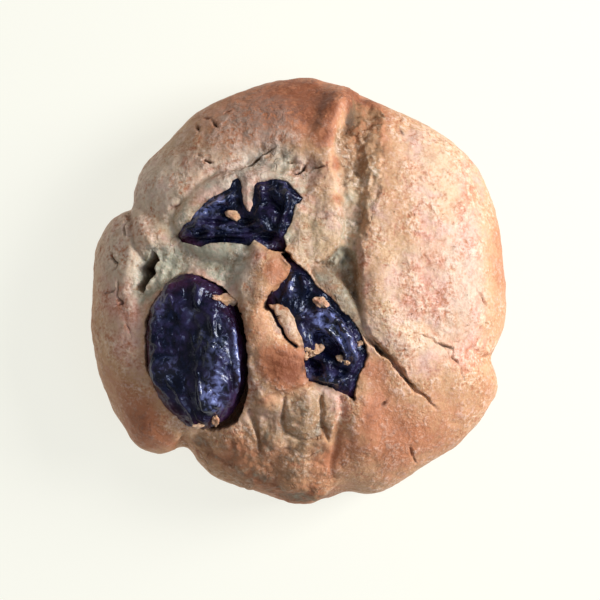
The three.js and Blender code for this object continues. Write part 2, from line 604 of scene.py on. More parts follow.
@dataclass(frozen=True)
class CrustFinish:
    """Baked dough: pale crust that browns on its high parts, and creamy crumb where it tore.

    Each noise's size is the width of its lumps in millimetres.
    """

    pale: Row = (0.69, 0.465, 0.385)
    gold: Row = (0.60, 0.35, 0.19)
    brown: Row = (0.46, 0.18, 0.088)
    burnt: Row = (0.25, 0.075, 0.03)
    rosy: Row = (0.64, 0.28, 0.205)
    straw: Row = (0.64, 0.51, 0.29)
    cream: Row = (0.47, 0.475, 0.37)
    flour: Row = (0.55, 0.51, 0.45)
    tan: Row = (0.29, 0.17, 0.085)
    light: Row = (0.90, 0.70, 0.58)
    # Colour of the painted shade, and of the stains round the raisins.
    shade: Row = (0.032, 0.015, 0.009)
    roughness: float = 0.6
    flush_size: float = 6.8
    drift_size: float = 5.6
    patch_size: float = 3.4
    cloud_size: float = 2.8
    blotch_size: float = 1.3
    pore_size: float = 0.85
    cell_size: float = 0.8
    grit_size: float = 0.62
    dust_size: float = 0.34

    def material(self) -> bpy.types.Material:
        """Builds the crust's material.

        Returns:
            The material.
        """
        b = NodeBench("baked_crust")
        where = b.place()
        bent = b.warp(where, 1.6, 1.2)
        painted = {kind: b.painted(kind.value) for kind in Paint}
        crumb, pit = painted[Paint.CRUMB], painted[Paint.PIT]
        noises = self._noises(b, where, bent, crumb)
        grit = noises.grit
        # The bake paint holds painted shade and painted highlights as well as browning.
        heat_and_painted_light = painted[Paint.BAKE] + noises.cloud.about(0.6) + noises.blotch.about(0.7)
        heat_and_painted_light = heat_and_painted_light + grit.about(0.6)
        colour = self._baked(b, where, bent, painted, noises, heat_and_painted_light)
        colour = self._torn(b, painted, noises, colour)
        colour = self._speckled(b, painted, noises, heat_and_painted_light, colour)
        # Painted shade: the colour turns to the shade colour in cracks, nooks, hollows and under
        # the raisins, and in the stains.
        painted_shade = (pit + grit.about(0.5) * pit.step(0.02, 0.3)).clamp()
        return b.finish(
            {
                "Base Color": b.blend(painted_shade, colour, self.shade),
                "Roughness": self.roughness + grit.about(0.3) + crumb * 0.12,
                "Normal": self._relief(b, where, noises, crumb),
                "Specular IOR Level": 0.4,
                "Subsurface Weight": 0.08,
                "Subsurface Radius": (1.0, 0.5, 0.25),
                "Subsurface Scale": 0.0008,
            }
        )

    def _noises(self, b: NodeBench, where: Wire, bent: Wire, crumb: Wire) -> CrustNoise:
        """Builds the noises that the colour and the relief share.

        Args:
            b: The material's bench.
            where: Places in millimetres.
            bent: The same places, moved about.
            crumb: Share by which the dough is torn open.

        Returns:
            The noises.
        """
        hairy = b.noise(where, 4.0, 2.0, 0.5).step(0.55, 0.63) * crumb
        return CrustNoise(
            patchy=0.55 + b.noise(where, self.patch_size, 2.0, 0.5).step(0.36, 0.64) * 0.9,
            cloud=b.noise(bent, self.cloud_size, 3.0, 0.6),
            blotch=b.noise(b.warp(where, 0.9, 0.7), self.blotch_size, 3.0, 0.6),
            grit=b.noise(where, self.grit_size, 3.0, 0.65),
            dust=b.noise(where, self.dust_size, 2.0, 0.55),
            pores=b.noise(where, self.pore_size, 3.0, 0.7).step(0.66, 0.76),
            hairline=b.creases(bent, 3.2, 0.012) * hairy,
        )

    def _baked(
        self,
        b: NodeBench,
        where: Wire,
        bent: Wire,
        painted: dict[Paint, Wire],
        noises: CrustNoise,
        heat_and_painted_light: Wire,
    ) -> Wire:
        """Builds the crust's colour, from pale through rosy and straw to burnt, with painted shade
        and highlights in its browning.

        Args:
            b: The material's bench.
            where: Places in millimetres.
            bent: The same places, moved about.
            painted: The numbers painted on the mesh.
            noises: The crust's noises.
            heat_and_painted_light: How far each place is baked, with painted shade and highlights
                mixed in.

        Returns:
            The colour.
        """
        blush, cloud = painted[Paint.BLUSH], noises.cloud
        drift = b.noise(bent, self.drift_size, 3.0, 0.55)
        flush = b.noise(where, self.flush_size, 2.0, 0.5)
        colour = b.blend(drift.step(0.42, 0.60) * 0.6, self.pale, self.straw)
        warm = flush.step(0.42, 0.62) * 0.6 + cloud.step(0.5, 0.62) * 0.3
        colour = b.blend(warm * (1 - painted[Paint.CREAM]), colour, self.rosy)
        uneasy = cloud.about(1.6) + noises.blotch.about(0.8)
        colour = b.blend((blush + uneasy * blush.step(0.02, 0.3)).clamp(), colour, self.rosy)
        yellow = (0.0 - blush).clamp()
        colour = b.blend((yellow + uneasy * yellow.step(0.02, 0.3)).clamp(), colour, self.straw)
        colour = b.blend(heat_and_painted_light.step(0.10, 0.48) * (1 - yellow * 0.6), colour, self.gold)
        colour = b.blend(heat_and_painted_light.step(0.36, 0.86), colour, self.brown)
        return b.blend(heat_and_painted_light.step(0.84, 1.4), colour, self.burnt)

    def _torn(
        self, b: NodeBench, painted: dict[Paint, Wire], noises: CrustNoise, colour: Wire
    ) -> Wire:
        """Adds the tan and creamy crumb, and the grey of flour dust and of painted shade.

        Args:
            b: The material's bench.
            painted: The numbers painted on the mesh.
            noises: The crust's noises.
            colour: The colour so far.

        Returns:
            The new colour.
        """
        crumb, cream, flour = (painted[kind] for kind in (Paint.CRUMB, Paint.CREAM, Paint.FLOUR))
        cloud, blotch = noises.cloud, noises.blotch
        torn = (crumb * 0.9 + cloud.about(1.3) + blotch.about(1.2)).step(0.25, 0.95)
        colour = b.blend(torn * crumb.step(0.05, 0.5) * 0.8, colour, self.tan)
        inner = (cream + cloud.about(0.9) + blotch.about(0.9)).step(0.18, 0.82)
        colour = b.blend(inner * cream.step(0.03, 0.3), colour, self.cream)
        # Flour dust, and in some places painted shade, greys the colour.
        flour_and_shade_share = (flour + cloud.about(0.6) + blotch.about(0.6)).clamp() * flour.step(0.02, 0.3)
        return b.blend(flour_and_shade_share * 0.85, colour, self.flour)

    def _speckled(
        self,
        b: NodeBench,
        painted: dict[Paint, Wire],
        noises: CrustNoise,
        heat_and_painted_light: Wire,
        colour: Wire,
    ) -> Wire:
        """Adds light specks (partly painted tiny highlights), dark specks, pores and hairline
        cracks.

        Args:
            b: The material's bench.
            painted: The numbers painted on the mesh.
            noises: The crust's noises.
            heat_and_painted_light: How far each place is baked, with painted shade and highlights
                mixed in.
            colour: The colour so far.

        Returns:
            The new colour.
        """
        crumb, cream = painted[Paint.CRUMB], painted[Paint.CREAM]
        tone = noises.cloud.about(0.9) + noises.blotch.about(2.0)
        tone = tone + noises.grit.about(3.2) + noises.dust.about(1.8)
        tone = tone * noises.patchy * (1 - crumb * 0.25)
        # Pale specks: partly the crust's own paler grains and partly painted tiny highlights.
        pale = (tone * (1 - (heat_and_painted_light - 0.4).clamp())).clamp()
        colour = b.blend(pale * 0.72, colour, self.light)
        speck = b.blend((cream * 1.6).clamp(), self.brown, self.tan)
        colour = b.blend((0.0 - tone).clamp() * (1 - cream * 0.4), colour, speck)
        colour = b.blend(noises.pores * (0.15 + crumb * 0.45), colour, self.burnt)
        return b.blend(noises.hairline * 0.6, colour, self.burnt)

    def _relief(self, b: NodeBench, where: Wire, noises: CrustNoise, crumb: Wire) -> Wire:
        """Builds the crust's fine relief, from dust up to lumps.

        Args:
            b: The material's bench.
            where: Places in millimetres.
            noises: The crust's noises.
            crumb: Share by which the dough is torn open.

        Returns:
            The bumped normal.
        """
        uneven = noises.patchy * 0.5 + crumb * 0.2
        lumpy = noises.blotch * uneven - noises.pores * 0.3 - noises.hairline * 0.4
        fine = b.bump(noises.dust, 0.06, 0.8)
        pitted = b.bump(b.cells(where, self.cell_size), 0.08, 0.5, fine)
        grainy = b.bump(noises.grit * uneven, 0.27, 0.9, pitted)
        return b.bump(lumpy, 0.46, 0.9, grainy)


@dataclass(frozen=True)
class RaisinFinish:
    """Dark glossy raisin skin: blue-black on top, wine red where the skin is thin, with a painted
    bluish sheen.

    Creasing is the depth of the middling creases in millimetres.
    """

    name: str = "raisin_skin"
    creasing: float = 0.22
    dark: Row = (0.0016, 0.0028, 0.012)
    violet: Row = (0.018, 0.011, 0.042)
    wine: Row = (0.085, 0.010, 0.028)
    bloom_and_sheen: Row = (0.050, 0.072, 0.21)
    painted_sheen: Row = (0.22, 0.25, 0.50)
    roughness: float = 0.15
    cloud_size: float = 2.6
    web_size: float = 0.9
    grain_size: float = 0.24

    def material(self) -> bpy.types.Material:
        """Builds the raisin's material.

        Returns:
            The material.
        """
        b = NodeBench(self.name)
        where = b.place()
        ridge, thin, sheen = b.painted("ridge"), b.painted("thin"), b.painted("sheen")
        cloud = b.noise(where, self.cloud_size, 4.0, 0.6)
        bent = b.warp(where, 1.2, 1.1)
        web = b.noise(bent, self.web_size, 4.0, 0.6)
        lines = b.creases(bent, 1.5, 0.10)
        colour = b.blend(cloud.step(0.44, 0.62), self.dark, self.violet)
        wine = (thin + cloud.about(0.9) * thin.step(0.02, 0.3)).clamp()
        colour = b.blend(wine, colour, self.wine)
        # A bluish bloom on the crests: partly the skin's own bloom and partly painted sheen.
        bloom_and_sheen_share = (cloud.step(0.5, 0.75) * 0.4 + web.about(1.2) + lines * 0.3).clamp()
        colour = b.blend((bloom_and_sheen_share * (0.1 + ridge * 0.5) * 0.5).clamp(), colour, self.bloom_and_sheen)
        # Painted sheen: a bluish reflection painted into the colour where the sheen swells lie.
        painted_sheen_share = sheen * (0.02 + web.about(4.4) + cloud.about(2.6) + lines * 0.5)
        painted_sheen_share = painted_sheen_share + (sheen - 0.9).clamp() * (0.25 + lines * 0.5)
        colour = b.blend(painted_sheen_share.clamp(), colour, self.painted_sheen)
        rough = self.roughness + cloud.about(0.35) + web.about(0.2) + sheen * 0.08
        return b.finish(
            {
                "Base Color": colour,
                "Roughness": rough.clamp(),
                "Normal": self._relief(b, where, web, lines),
                "Specular IOR Level": 0.34,
                "Specular Tint": (0.62, 0.72, 1.0),
                "Coat Weight": (sheen * 1.6 + cloud.about(1.2) + 0.1).clamp(),
                "Coat Roughness": 0.10,
                "Coat Tint": (0.86, 0.90, 1.0),
            }
        )

    def _relief(self, b: NodeBench, where: Wire, web: Wire, lines: Wire) -> Wire:
        """Builds the skin's fine creases.

        Args:
            b: The material's bench.
            where: Places in millimetres.
            web: Noise of the middling creases.
            lines: The sharp creases.

        Returns:
            The bumped normal.
        """
        pleats = b.creases(b.warp(where, 0.6, 0.6), 0.75, 0.09)
        fine = b.bump(b.noise(where, self.grain_size, 2.0, 0.6), 0.03, 0.5)
        pleated = b.bump(pleats, 0.4 * self.creasing, 0.8, fine)
        creased = b.bump(web, self.creasing, 0.8, pleated)
        return b.bump(lines, 0.9 * self.creasing, 0.9, creased)


@dataclass(frozen=True)
class BoardFinish:
    """Pale, even surface under the cookie."""

    colour: Row = (0.97, 0.97, 0.885)
    glow: float = 0.80

    def material(self) -> bpy.types.Material:
        """Builds the floor's material.

        Returns:
            The material.
        """
        b = NodeBench("pale_board")
        return b.finish(
            {
                "Base Color": tuple(0.22 * part for part in self.colour),
                "Roughness": 0.9,
                "Specular IOR Level": 0.1,
                "Emission Color": self.colour,
                "Emission Strength": self.glow,
            }
        )


# ---------------------------------------------------------------- mesh tools


def make_piece(
    name: str, bm: bmesh.types.BMesh, material: bpy.types.Material
) -> bpy.types.Object:
    """Makes a finished, smooth-shaded piece that rides on the cookie's body.

    Args:
        name: The piece's name.
        bm: Its shape in millimetres, which is freed.
        material: Its finish.

    Returns:
        The object.
    """
    bmesh.ops.transform(bm, matrix=Matrix.Scale(MM, 4), verts=bm.verts)
    bmesh.ops.recalc_face_normals(bm, faces=bm.faces)
    mesh = bpy.data.meshes.new(name)
    bm.to_mesh(mesh)
    bm.free()
    mesh.shade_smooth()
    mesh.materials.append(material)
    piece = bpy.data.objects.new(name, mesh)
    bpy.context.scene.collection.objects.link(piece)
    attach(piece, BODY)
    return piece


def coordinates(bm: bmesh.types.BMesh) -> Array:
    """Places of a shape's vertices, one a row."""
    return np.array([v.co for v in bm.verts], float)


def move_to(bm: bmesh.types.BMesh, places: Array) -> None:
    """Moves a shape's vertices to new places, one a row."""
    for vertex, place in zip(bm.verts, places.tolist()):
        vertex.co = place


def paint(bm: bmesh.types.BMesh, name: str, values: Array) -> None:
    """Paints a number on each vertex of a shape.

    Args:
        bm: The shape.
        name: The numbers' name, by which a finish reads them.
        values: One number for each vertex.
    """
    layer = bm.verts.layers.float.new(name)
    for vertex, value in zip(bm.verts, values.tolist()):
        vertex[layer] = value


def refine_ball(bm: bmesh.types.BMesh, wanted: Callable[[Array], Array]) -> None:
    """Splits the edges of a unit ball where more detail is wanted.

    Args:
        bm: The ball.
        wanted: Tells for each vertex direction whether detail is wanted there.
    """
    flags = wanted(coordinates(bm))
    edges = [e for e in bm.edges if flags[e.verts[0].index] and flags[e.verts[1].index]]
    bmesh.ops.subdivide_edges(bm, edges=edges, cuts=1, use_grid_fill=True)
    bmesh.ops.triangulate(bm, faces=[f for f in bm.faces if len(f.verts) > 3])
    for vertex in bm.verts:
        vertex.co.normalize()
    bm.verts.index_update()
    bm.verts.ensure_lookup_table()


# ---------------------------------------------------------------- the dough


@dataclass(frozen=True)
class CookieDome:
    """The cookie's plain form: its outline, flat foot and dome."""

    height: float = 19.0
    waist: float = 5.0
    foot: float = 0.92
    power: float = 0.8
    waist_tilt: float = 0.70
    foot_tilt: float = 0.84
    rim: Rows = (
        (0, 28.1), (16, 28.2), (28, 29.1), (39, 29.4), (50, 28.5), (64, 27.5), (76, 27.9),
        (90, 28.9), (102, 28.1), (119, 27.9), (131, 27.0), (143, 27.0), (148, 26.2), (153, 25.2),
        (159, 27.1), (166, 27.7), (178, 27.7), (191, 28.6), (204, 29.3), (217, 30.0), (229, 29.0),
        (234, 26.0), (240, 26.7), (245, 27.6), (260, 27.9), (272, 28.9), (283, 27.9), (292, 29.3),
        (305, 29.1), (318, 29.9), (334, 30.1), (341, 27.8), (351, 28.2),
    )  # fmt: skip

    def radius(self, angle: Array) -> Array:
        """Works out the outline, on a cubic through the rim's rows.

        Args:
            angle: Directions in radians.

        Returns:
            The outline's radius in each direction.
        """
        turns = np.array([row[0] for row in self.rim], float)
        radii = np.array([row[1] for row in self.rim], float)
        count = len(turns)
        degrees = np.degrees(angle) % 360.0
        i = np.searchsorted(turns, degrees, side="right") - 1
        at = [(turns[(i + k) % count] + 360.0 * ((i + k) // count), radii[(i + k) % count])
              for k in (-1, 0, 1, 2)]  # fmt: skip
        (a0, r0), (a1, r1), (a2, r2), (a3, r3) = at
        span = a2 - a1
        t = (degrees - a1) / span
        m1, m2 = (r2 - r0) / (a2 - a0) * span, (r3 - r1) / (a3 - a1) * span
        return (
            (2 * t**3 - 3 * t**2 + 1) * r1
            + (t**3 - 2 * t**2 + t) * m1
            + (3 * t**2 - 2 * t**3) * r2
            + (t**3 - t**2) * m2
        )

    def top(self, share: Array) -> Array:
        """Height of the dome over a share of the outline's radius."""
        rest = np.maximum(0.0, 1.0 - np.clip(share, 0, 1) ** (2 / self.power))
        return self.waist + (self.height - self.waist) * rest ** (self.power / 2)

    def skin(self, x: Array, y: Array) -> Array:
        """Height of the dome above the plan."""
        return self.top(np.hypot(x, y) / self.radius(np.arctan2(y, x)))

    def wrap(self, directions: Array) -> Array:
        """Lays a unit ball's directions on the cookie's plain form.

        Args:
            directions: Unit vectors, one a row.

        Returns:
            Places in millimetres, one a row.
        """
        turn = np.arccos(np.clip(directions[:, 2], -1, 1)) / math.pi
        angle = np.arctan2(directions[:, 1], directions[:, 0])
        rise = np.clip(turn / self.waist_tilt, 0, 1) * math.pi / 2
        curl = np.clip((turn - self.waist_tilt) / (self.foot_tilt - self.waist_tilt), 0, 1)
        inward = np.clip((1 - turn) / (1 - self.foot_tilt), 0, 1)
        share = np.where(
            turn < self.waist_tilt,
            np.sin(rise),
            np.where(
                turn < self.foot_tilt,
                self.foot + (1 - self.foot) * np.cos(curl * math.pi / 2),
                self.foot * inward,
            ),
        )
        low = self.waist * (1 - np.sin(curl * math.pi / 2))
        z = np.where(turn < self.waist_tilt, self.top(share), low)
        reach = share * self.radius(angle)
        return np.stack((reach * np.cos(angle), reach * np.sin(angle), z), axis=1)

    def normals(self, directions: Array) -> Array:
        """Works out the plain form's normals from places a short step away on each side.

        Args:
            directions: Unit vectors, one a row.

        Returns:
            Outward unit normals, one a row.
        """
        up = np.array((0.0, 0.0, 1.0))
        east = np.cross(up, directions)
        flat = np.linalg.norm(east, axis=1) < 1e-3
        east[flat] = (1.0, 0.0, 0.0)
        east /= np.linalg.norm(east, axis=1)[:, None]
        north = np.cross(directions, east)
        step = 0.012
        here = [self.wrap(self._unit(directions + s * axis)) for axis in (east, north)
                for s in (step, -step)]  # fmt: skip
        normal = np.cross(here[0] - here[1], here[2] - here[3])
        return self._unit(normal)

    @staticmethod
    def _unit(rows: Array) -> Array:
        """Rows scaled to length 1."""
        return rows / np.maximum(np.linalg.norm(rows, axis=1), 1e-12)[:, None]


@dataclass(frozen=True)
class RaisinSeat:
    """Where a raisin lies in the dough: its frame and its half sizes, in millimetres.

    The raisin shows in the window, under which the dough is sunk by the bed's depth. Outside the
    window the dough laps over the raisin by the lap, or only meets its side if the lap is 0. Fray
    is how ragged the window's edge is, and stain how dark the raisin makes the dough round it.
    """

    node: str
    half: tuple[float, float, float]
    turn: float
    window: Patch
    lift: float
    squareness: float
    lap: float
    bed: float
    fray: float
    stain: float

    def frame(self, dome: CookieDome) -> tuple[Array, Array]:
        """Finds the raisin's frame: over its CAD node, leaned with the dome and turned.

        Args:
            dome: The cookie's plain form.

        Returns:
            Its middle in millimetres, and its across, along and up axes as rows.
        """
        low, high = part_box(self.node)
        middle = np.array((low + high) / 2) / MM
        x, y = middle[0:1], middle[1:2]
        step = 0.5
        normal = Vector(
            (
                float(dome.skin(x - step, y)[0] - dome.skin(x + step, y)[0]),
                float(dome.skin(x, y - step)[0] - dome.skin(x, y + step)[0]),
                2 * step,
            )
        ).normalized()
        lean = Vector((0, 0, 1)).rotation_difference(normal)
        spin = lean @ Quaternion((0, 0, 1), math.radians(self.turn))
        axes = np.array(spin.to_matrix().transposed())
        return middle + self.lift * np.array(normal), axes

    def share(self, local: Array) -> Array:
        """How far a place is from the raisin's middle line, as a share of its half sizes."""
        return np.hypot(local[:, 0] / self.half[0], local[:, 1] / self.half[1])

    def surface(self, local: Array) -> Array:
        """Height of the raisin's top above its middle plane."""
        s = np.clip(self.share(local), 0, 1)
        return self.half[2] * (1 - s**self.squareness) ** (1 / self.squareness)


UPPER_WINDOW = Patch(
    (
        (-15.0, 7.6), (-14.5, 8.3), (-13.6, 8.7), (-13.2, 9.5), (-12.2, 10.7), (-11.0, 11.7),
        (-9.9, 12.3), (-9.0, 12.7), (-8.5, 13.2), (-8.3, 13.9), (-7.8, 14.2), (-7.4, 13.8),
        (-7.3, 12.6), (-7.1, 11.2), (-6.6, 10.1), (-6.1, 9.8), (-5.7, 10.8), (-5.5, 12.2),
        (-5.4, 13.3), (-5.1, 13.7), (-4.4, 13.8), (-3.4, 14.1), (-2.3, 14.1), (-1.4, 13.8),
        (-0.8, 13.0), (0.0, 12.3), (0.4, 11.8), (0.1, 11.3), (-0.4, 11.0), (-0.7, 10.1),
        (-1.0, 8.7), (-1.6, 7.5), (-2.0, 6.9), (-1.6, 5.7), (-1.9, 5.1), (-3.0, 5.2), (-4.1, 5.5),
        (-4.6, 6.0), (-5.6, 6.6), (-6.4, 5.9), (-7.2, 6.0), (-8.8, 6.2), (-10.1, 6.2), (-11.7, 6.0),
        (-12.4, 5.7), (-13.5, 6.0), (-15.1, 6.4), (-15.5, 7.2),
    )
)  # fmt: skip

MIDDLE_WINDOW = Patch(
    (
        (-1.7, 4.9), (-0.4, 3.7), (0.7, 2.6), (2.0, 1.0), (3.2, -0.2), (4.5, -1.4), (5.5, -2.4),
        (6.2, -3.3), (7.0, -4.3), (7.8, -5.3), (8.4, -6.7), (8.6, -8.0), (8.3, -9.4), (7.7, -10.5),
        (7.2, -11.8), (7.2, -13.8), (6.3, -13.2), (5.2, -12.7), (4.0, -12.2), (2.9, -11.9),
        (1.4, -11.4), (0.9, -10.0), (0.8, -8.4), (0.8, -7.1), (0.4, -5.6), (0.0, -4.6),
        (-0.3, -3.4), (-1.2, -2.1), (-2.4, -1.5), (-3.3, -1.7), (-4.0, -1.5), (-3.8, -0.7),
        (-2.6, 0.3), (-1.4, 1.6), (-0.9, 3.0), (-2.1, 4.7),
    )
)  # fmt: skip

LEFT_WINDOW = Patch(
    (
        (-13.4, 2.0), (-11.2, 1.2), (-9.4, 0.0), (-8.2, -1.3), (-7.4, -2.9), (-6.8, -6.0),
        (-6.6, -9.5), (-6.6, -12.6), (-7.1, -15.0), (-8.1, -16.8), (-9.3, -17.6), (-10.5, -18.0),
        (-12.0, -18.0), (-13.5, -17.4), (-14.9, -16.5), (-16.6, -15.0), (-18.4, -12.6),
        (-19.5, -10.2), (-19.8, -7.0), (-19.5, -3.6), (-18.3, -1.0), (-16.6, 0.7), (-15.0, 1.6),
    )
)  # fmt: skip

SEATS = (
    RaisinSeat(
        "raisin_left",
        half=(6.6, 10.2, 4.6),
        turn=5.0,
        window=LEFT_WINDOW,
        lift=0.8,
        squareness=2.6,
        lap=0.0,
        bed=1.6,
        fray=0.8,
        stain=0.25,
    ),
    RaisinSeat(
        "raisin_upper",
        half=(9.3, 6.1, 3.7),
        turn=10.0,
        window=UPPER_WINDOW,
        lift=-0.3,
        squareness=3.4,
        lap=0.5,
        bed=2.0,
        fray=0.45,
        stain=0.7,
    ),
    RaisinSeat(
        "raisin_middle",
        half=(6.1, 10.4, 3.9),
        turn=29.0,
        window=MIDDLE_WINDOW,
        lift=-0.2,
        squareness=3.2,
        lap=0.55,
        bed=3.2,
        fray=0.8,
        stain=1.0,
    ),
)


@dataclass(frozen=True)
class Plan:
    """Where each place counts as lying in the plan, so that the shapes' edges wander.

    The fine places wander least, the bent ones more, and the swung ones most.
    """

    fine: Pair
    bent: Pair
    swung: Pair
    less_swung: Pair


@dataclass(frozen=True)
class Zones:
    """Shares, from 0 to 1, by which each place lies in the parts of the dough.

    The last three are the heights of the lumps there, from coarse to fine.
    """

    top: Array
    torn: Array
    coarse: Array
    hollow: Array
    valley: Array
    hole: Array
    knobs: Array
    crumbs: Array
    bits: Array


@dataclass(frozen=True)
class Relief:
    """What stands on the plain form: the rises, the splits, the cracks, and all of it."""

    rise: Array
    split: Array
    crack: Array
    height: Array


@dataclass(frozen=True)
class Beds:
    """Shares, from 0 to 1, by which each place lies under a raisin, round it, or is stained."""

    under: Array
    rims: Array
    stains: Array


@dataclass
class Dough:
    """The baked body of the cookie, one piece with its splits, lumps and raisin beds."""

    dome: CookieDome = field(default_factory=CookieDome)
    ball_level: int = 7
    window_edge: float = 0.38
    flap_height: float = 0.85
    hollow_depth: float = 0.75
    valley_depth: float = 1.3
    hole_depth: float = 5.2
    skirt: float = 1.2

    swells: tuple[Swell, ...] = (
        Swell(17.5, 5, 9, 16, 0.95),
        Swell(-8, 22, 11, 5, 0.55),
        Swell(-24, -3, 4, 12, 0.6),
        Swell(-18, -19, 5, 3.5, 0.5),
        Swell(15, -20, 9, 6, 0.5),
        Swell(-13, 4.2, 6.5, 2.2, -0.9),
        Swell(-20, 12, 5, 4, 0.4),
        Swell(-3.6, 23, 6, 4, 0.3),
        Swell(4.5, 22.5, 8.5, 5.0, 0.7),
        Swell(6.2, 24.2, 1.7, 2.6, 0.6),
        Swell(0.6, 24.6, 2.8, 3.0, -0.5),
        Swell(7.0, 21.8, 0.8, 2.0, -0.55, -8),
        Swell(-9.0, 21.5, 3.2, 2.6, -0.3, 25),
        Swell(-19.8, -18.0, 2.4, 3.0, 0.9, -30),
        Swell(0.7, -15.6, 2.2, 3.2, 0.85, 0, 1.5),
        Swell(4.2, -15.8, 1.0, 2.8, 0.55, 4, 1.5),
        Swell(8.2, -17.0, 2.2, 4.2, 0.75, 6, 1.5),
        Swell(-3.3, -19.8, 1.5, 1.9, 0.70, 0, 1.8),
        Swell(-7.2, -21.0, 3.2, 2.6, 0.60, -20, 1.8),
        Swell(1.9, -20.1, 1.8, 1.4, 0.50, 0, 1.7),
        Swell(-0.6, -22.2, 1.9, 1.4, 0.45, 0, 1.7),
        Swell(-6.0, -24.6, 2.7, 1.7, 0.55, -15, 1.6),
        Swell(-0.4, -25.3, 1.7, 1.5, 0.60, 0, 1.6),
        Swell(2.4, -26.6, 1.5, 1.1, 0.50, 0, 1.5),
        Swell(-4.0, -14.4, 1.7, 1.4, 0.95, 0, 1.6),
    )
    ridges: tuple[Ridge, ...] = (
        Ridge.along(
            (-5.4, 6.0, 1.2, 0.2), (-4.4, 4.0, 1.9, 0.5), (-4.0, 1.6, 1.8, 0.6),
            (-5.0, -1.2, 1.2, 0.6), (-5.4, -3.8, 1.2, 0.6), (-4.6, -6.4, 1.6, 0.7),
            (-3.0, -8.6, 2.4, 0.8), (-2.6, -10.8, 2.4, 0.7),
        ),
        Ridge.along(
            (5.2, 26.4, 1.6, 0.4), (4.7, 24.4, 1.5, 0.9), (4.0, 22.5, 1.5, 1.1),
            (3.3, 20.3, 1.5, 0.9), (3.3, 18.5, 1.6, 0.7), (4.1, 16.0, 1.9, 0.6),
            (4.4, 14.0, 2.1, 0.6), (4.6, 12.0, 2.1, 0.6), (4.5, 10.5, 2.0, 0.55),
            (4.1, 8.5, 2.0, 0.5), (3.8, 6.0, 1.7, 0.4), (3.2, 4.0, 1.4, 0.2),
        ),
        Ridge.along(
            (10.4, 4, 1.8, 0.3), (10.2, 0, 1.8, 0.4), (11.0, -4.0, 1.6, 0.4),
            (13.4, -7.2, 1.4, 0.3),
        ),
        Ridge.along((-21.4, 12.5, 0.7, 0.2), (-20.6, 9.0, 0.7, 0.35), (-19.4, 6.0, 0.7, 0.35)),
    )  # fmt: skip
    splits: tuple[Split, ...] = (
        Split(Trail((
            (7.8, 24.6, 1.8, 1.4, 0.5), (7.9, 23.2, 2.7, 2.6, 0.85), (7.7, 21.6, 2.9, 2.9, 0.95),
            (7.3, 20.0, 3.0, 3.2, 0.9), (7.0, 18.2, 2.7, 3.3, 0.8), (7.0, 15.8, 2.2, 3.1, 0.8),
            (7.1, 14.0, 2.0, 2.8, 0.85), (7.1, 12.0, 1.7, 2.5, 1.0), (7.1, 10.8, 1.7, 2.3, 1.1),
            (7.2, 9.0, 1.9, 1.9, 1.2), (6.8, 6.8, 1.7, 1.9, 1.0), (6.6, 4.9, 1.7, 1.8, 0.9),
            (6.6, 2.2, 1.8, 1.6, 0.9), (6.7, -0.5, 1.7, 1.2, 1.1), (7.2, -3.2, 1.0, 0.8, 1.5),
            (8.0, -5.0, 0.65, 0.5, 2.0), (9.2, -6.6, 0.6, 0.45, 2.2), (10.6, -7.9, 0.55, 0.42, 2.0),
            (12.3, -9.3, 0.45, 0.4, 1.7), (13.6, -10.8, 0.38, 0.34, 1.3),
            (15.0, -12.4, 0.3, 0.3, 0.9), (16.4, -13.6, 0.24, 0.24, 0.6),
            (17.8, -15.1, 0.2, 0.2, 0.2),
        )), left_floor=0.45, right_floor=0.5),
        Split.along(
            (-24.0, 12.9, 1.0, 1.0, 1.4), (-22.8, 11.4, 0.7, 0.7, 0.8),
            (-21.9, 8.5, 0.4, 0.6, 0.45), (-21.4, 6, 0.4, 0.6, 0.5), (-20.7, 4.4, 0.6, 0.6, 0.9),
            (-20.6, 2.4, 0.5, 0.5, 0.8), (-20.9, 0.4, 0.4, 0.4, 0.4),
        ),
        Split.along(
            (2.9, -12.8, 0.35, 0.35, 0.4), (3.0, -15.5, 0.5, 0.4, 0.6), (3.1, -18.0, 0.5, 0.4, 0.5),
            (3.6, -19.6, 0.3, 0.3, 0.3),
        ),
        Split.along(
            (5.6, -13.8, 0.4, 0.5, 0.4), (5.4, -16.5, 0.6, 0.7, 0.55), (4.9, -19.0, 0.5, 0.7, 0.5),
            (4.3, -22.0, 0.4, 0.5, 0.4), (4.6, -24.6, 0.3, 0.4, 0.3),
        ),
        Split.along(
            (-1.9, -13.4, 0.3, 0.3, 0.4), (-2.0, -16.0, 0.5, 0.5, 0.6),
            (-1.6, -18.3, 0.4, 0.5, 0.5), (0.6, -19.0, 0.3, 0.3, 0.4), (3.0, -18.8, 0.3, 0.3, 0.4),
        ),
        Split.along(
            (-6.0, -15.6, 0.5, 0.5, 0.7), (-5.6, -18.2, 0.5, 0.4, 0.8),
            (-4.9, -20.6, 0.3, 0.3, 0.4),
        ),
        Split.along(
            (-15.9, -22.4, 1.3, 1.3, 1.8), (-15.6, -20.8, 1.1, 0.9, 1.5),
            (-15.1, -19.3, 0.7, 0.7, 1.1), (-14.7, -18.2, 0.5, 0.5, 0.5),
        ),
        Split.along(
            (28.0, -9.4, 1.0, 1.0, 1.2), (26.0, -8.9, 0.8, 0.8, 0.8), (24.5, -8.6, 0.7, 0.6, 0.7),
            (22.6, -7.6, 0.5, 0.4, 0.5), (21.4, -7.5, 0.3, 0.3, 0.3),
        ),
    )  # fmt: skip
    ledges: tuple[Ledge, ...] = (
        Ledge.along(
            (-2.8, 18.8, 0.15, 1.5), (-4.0, 18.2, 0.35, 2.0), (-5.8, 16.9, 0.5, 2.4),
            (-7.3, 15.8, 0.5, 2.2), (-8.8, 15.1, 0.45, 1.8), (-9.8, 14.9, 0.35, 1.4),
            (-10.6, 14.2, 0.2, 1.2),
        ),
    )  # fmt: skip
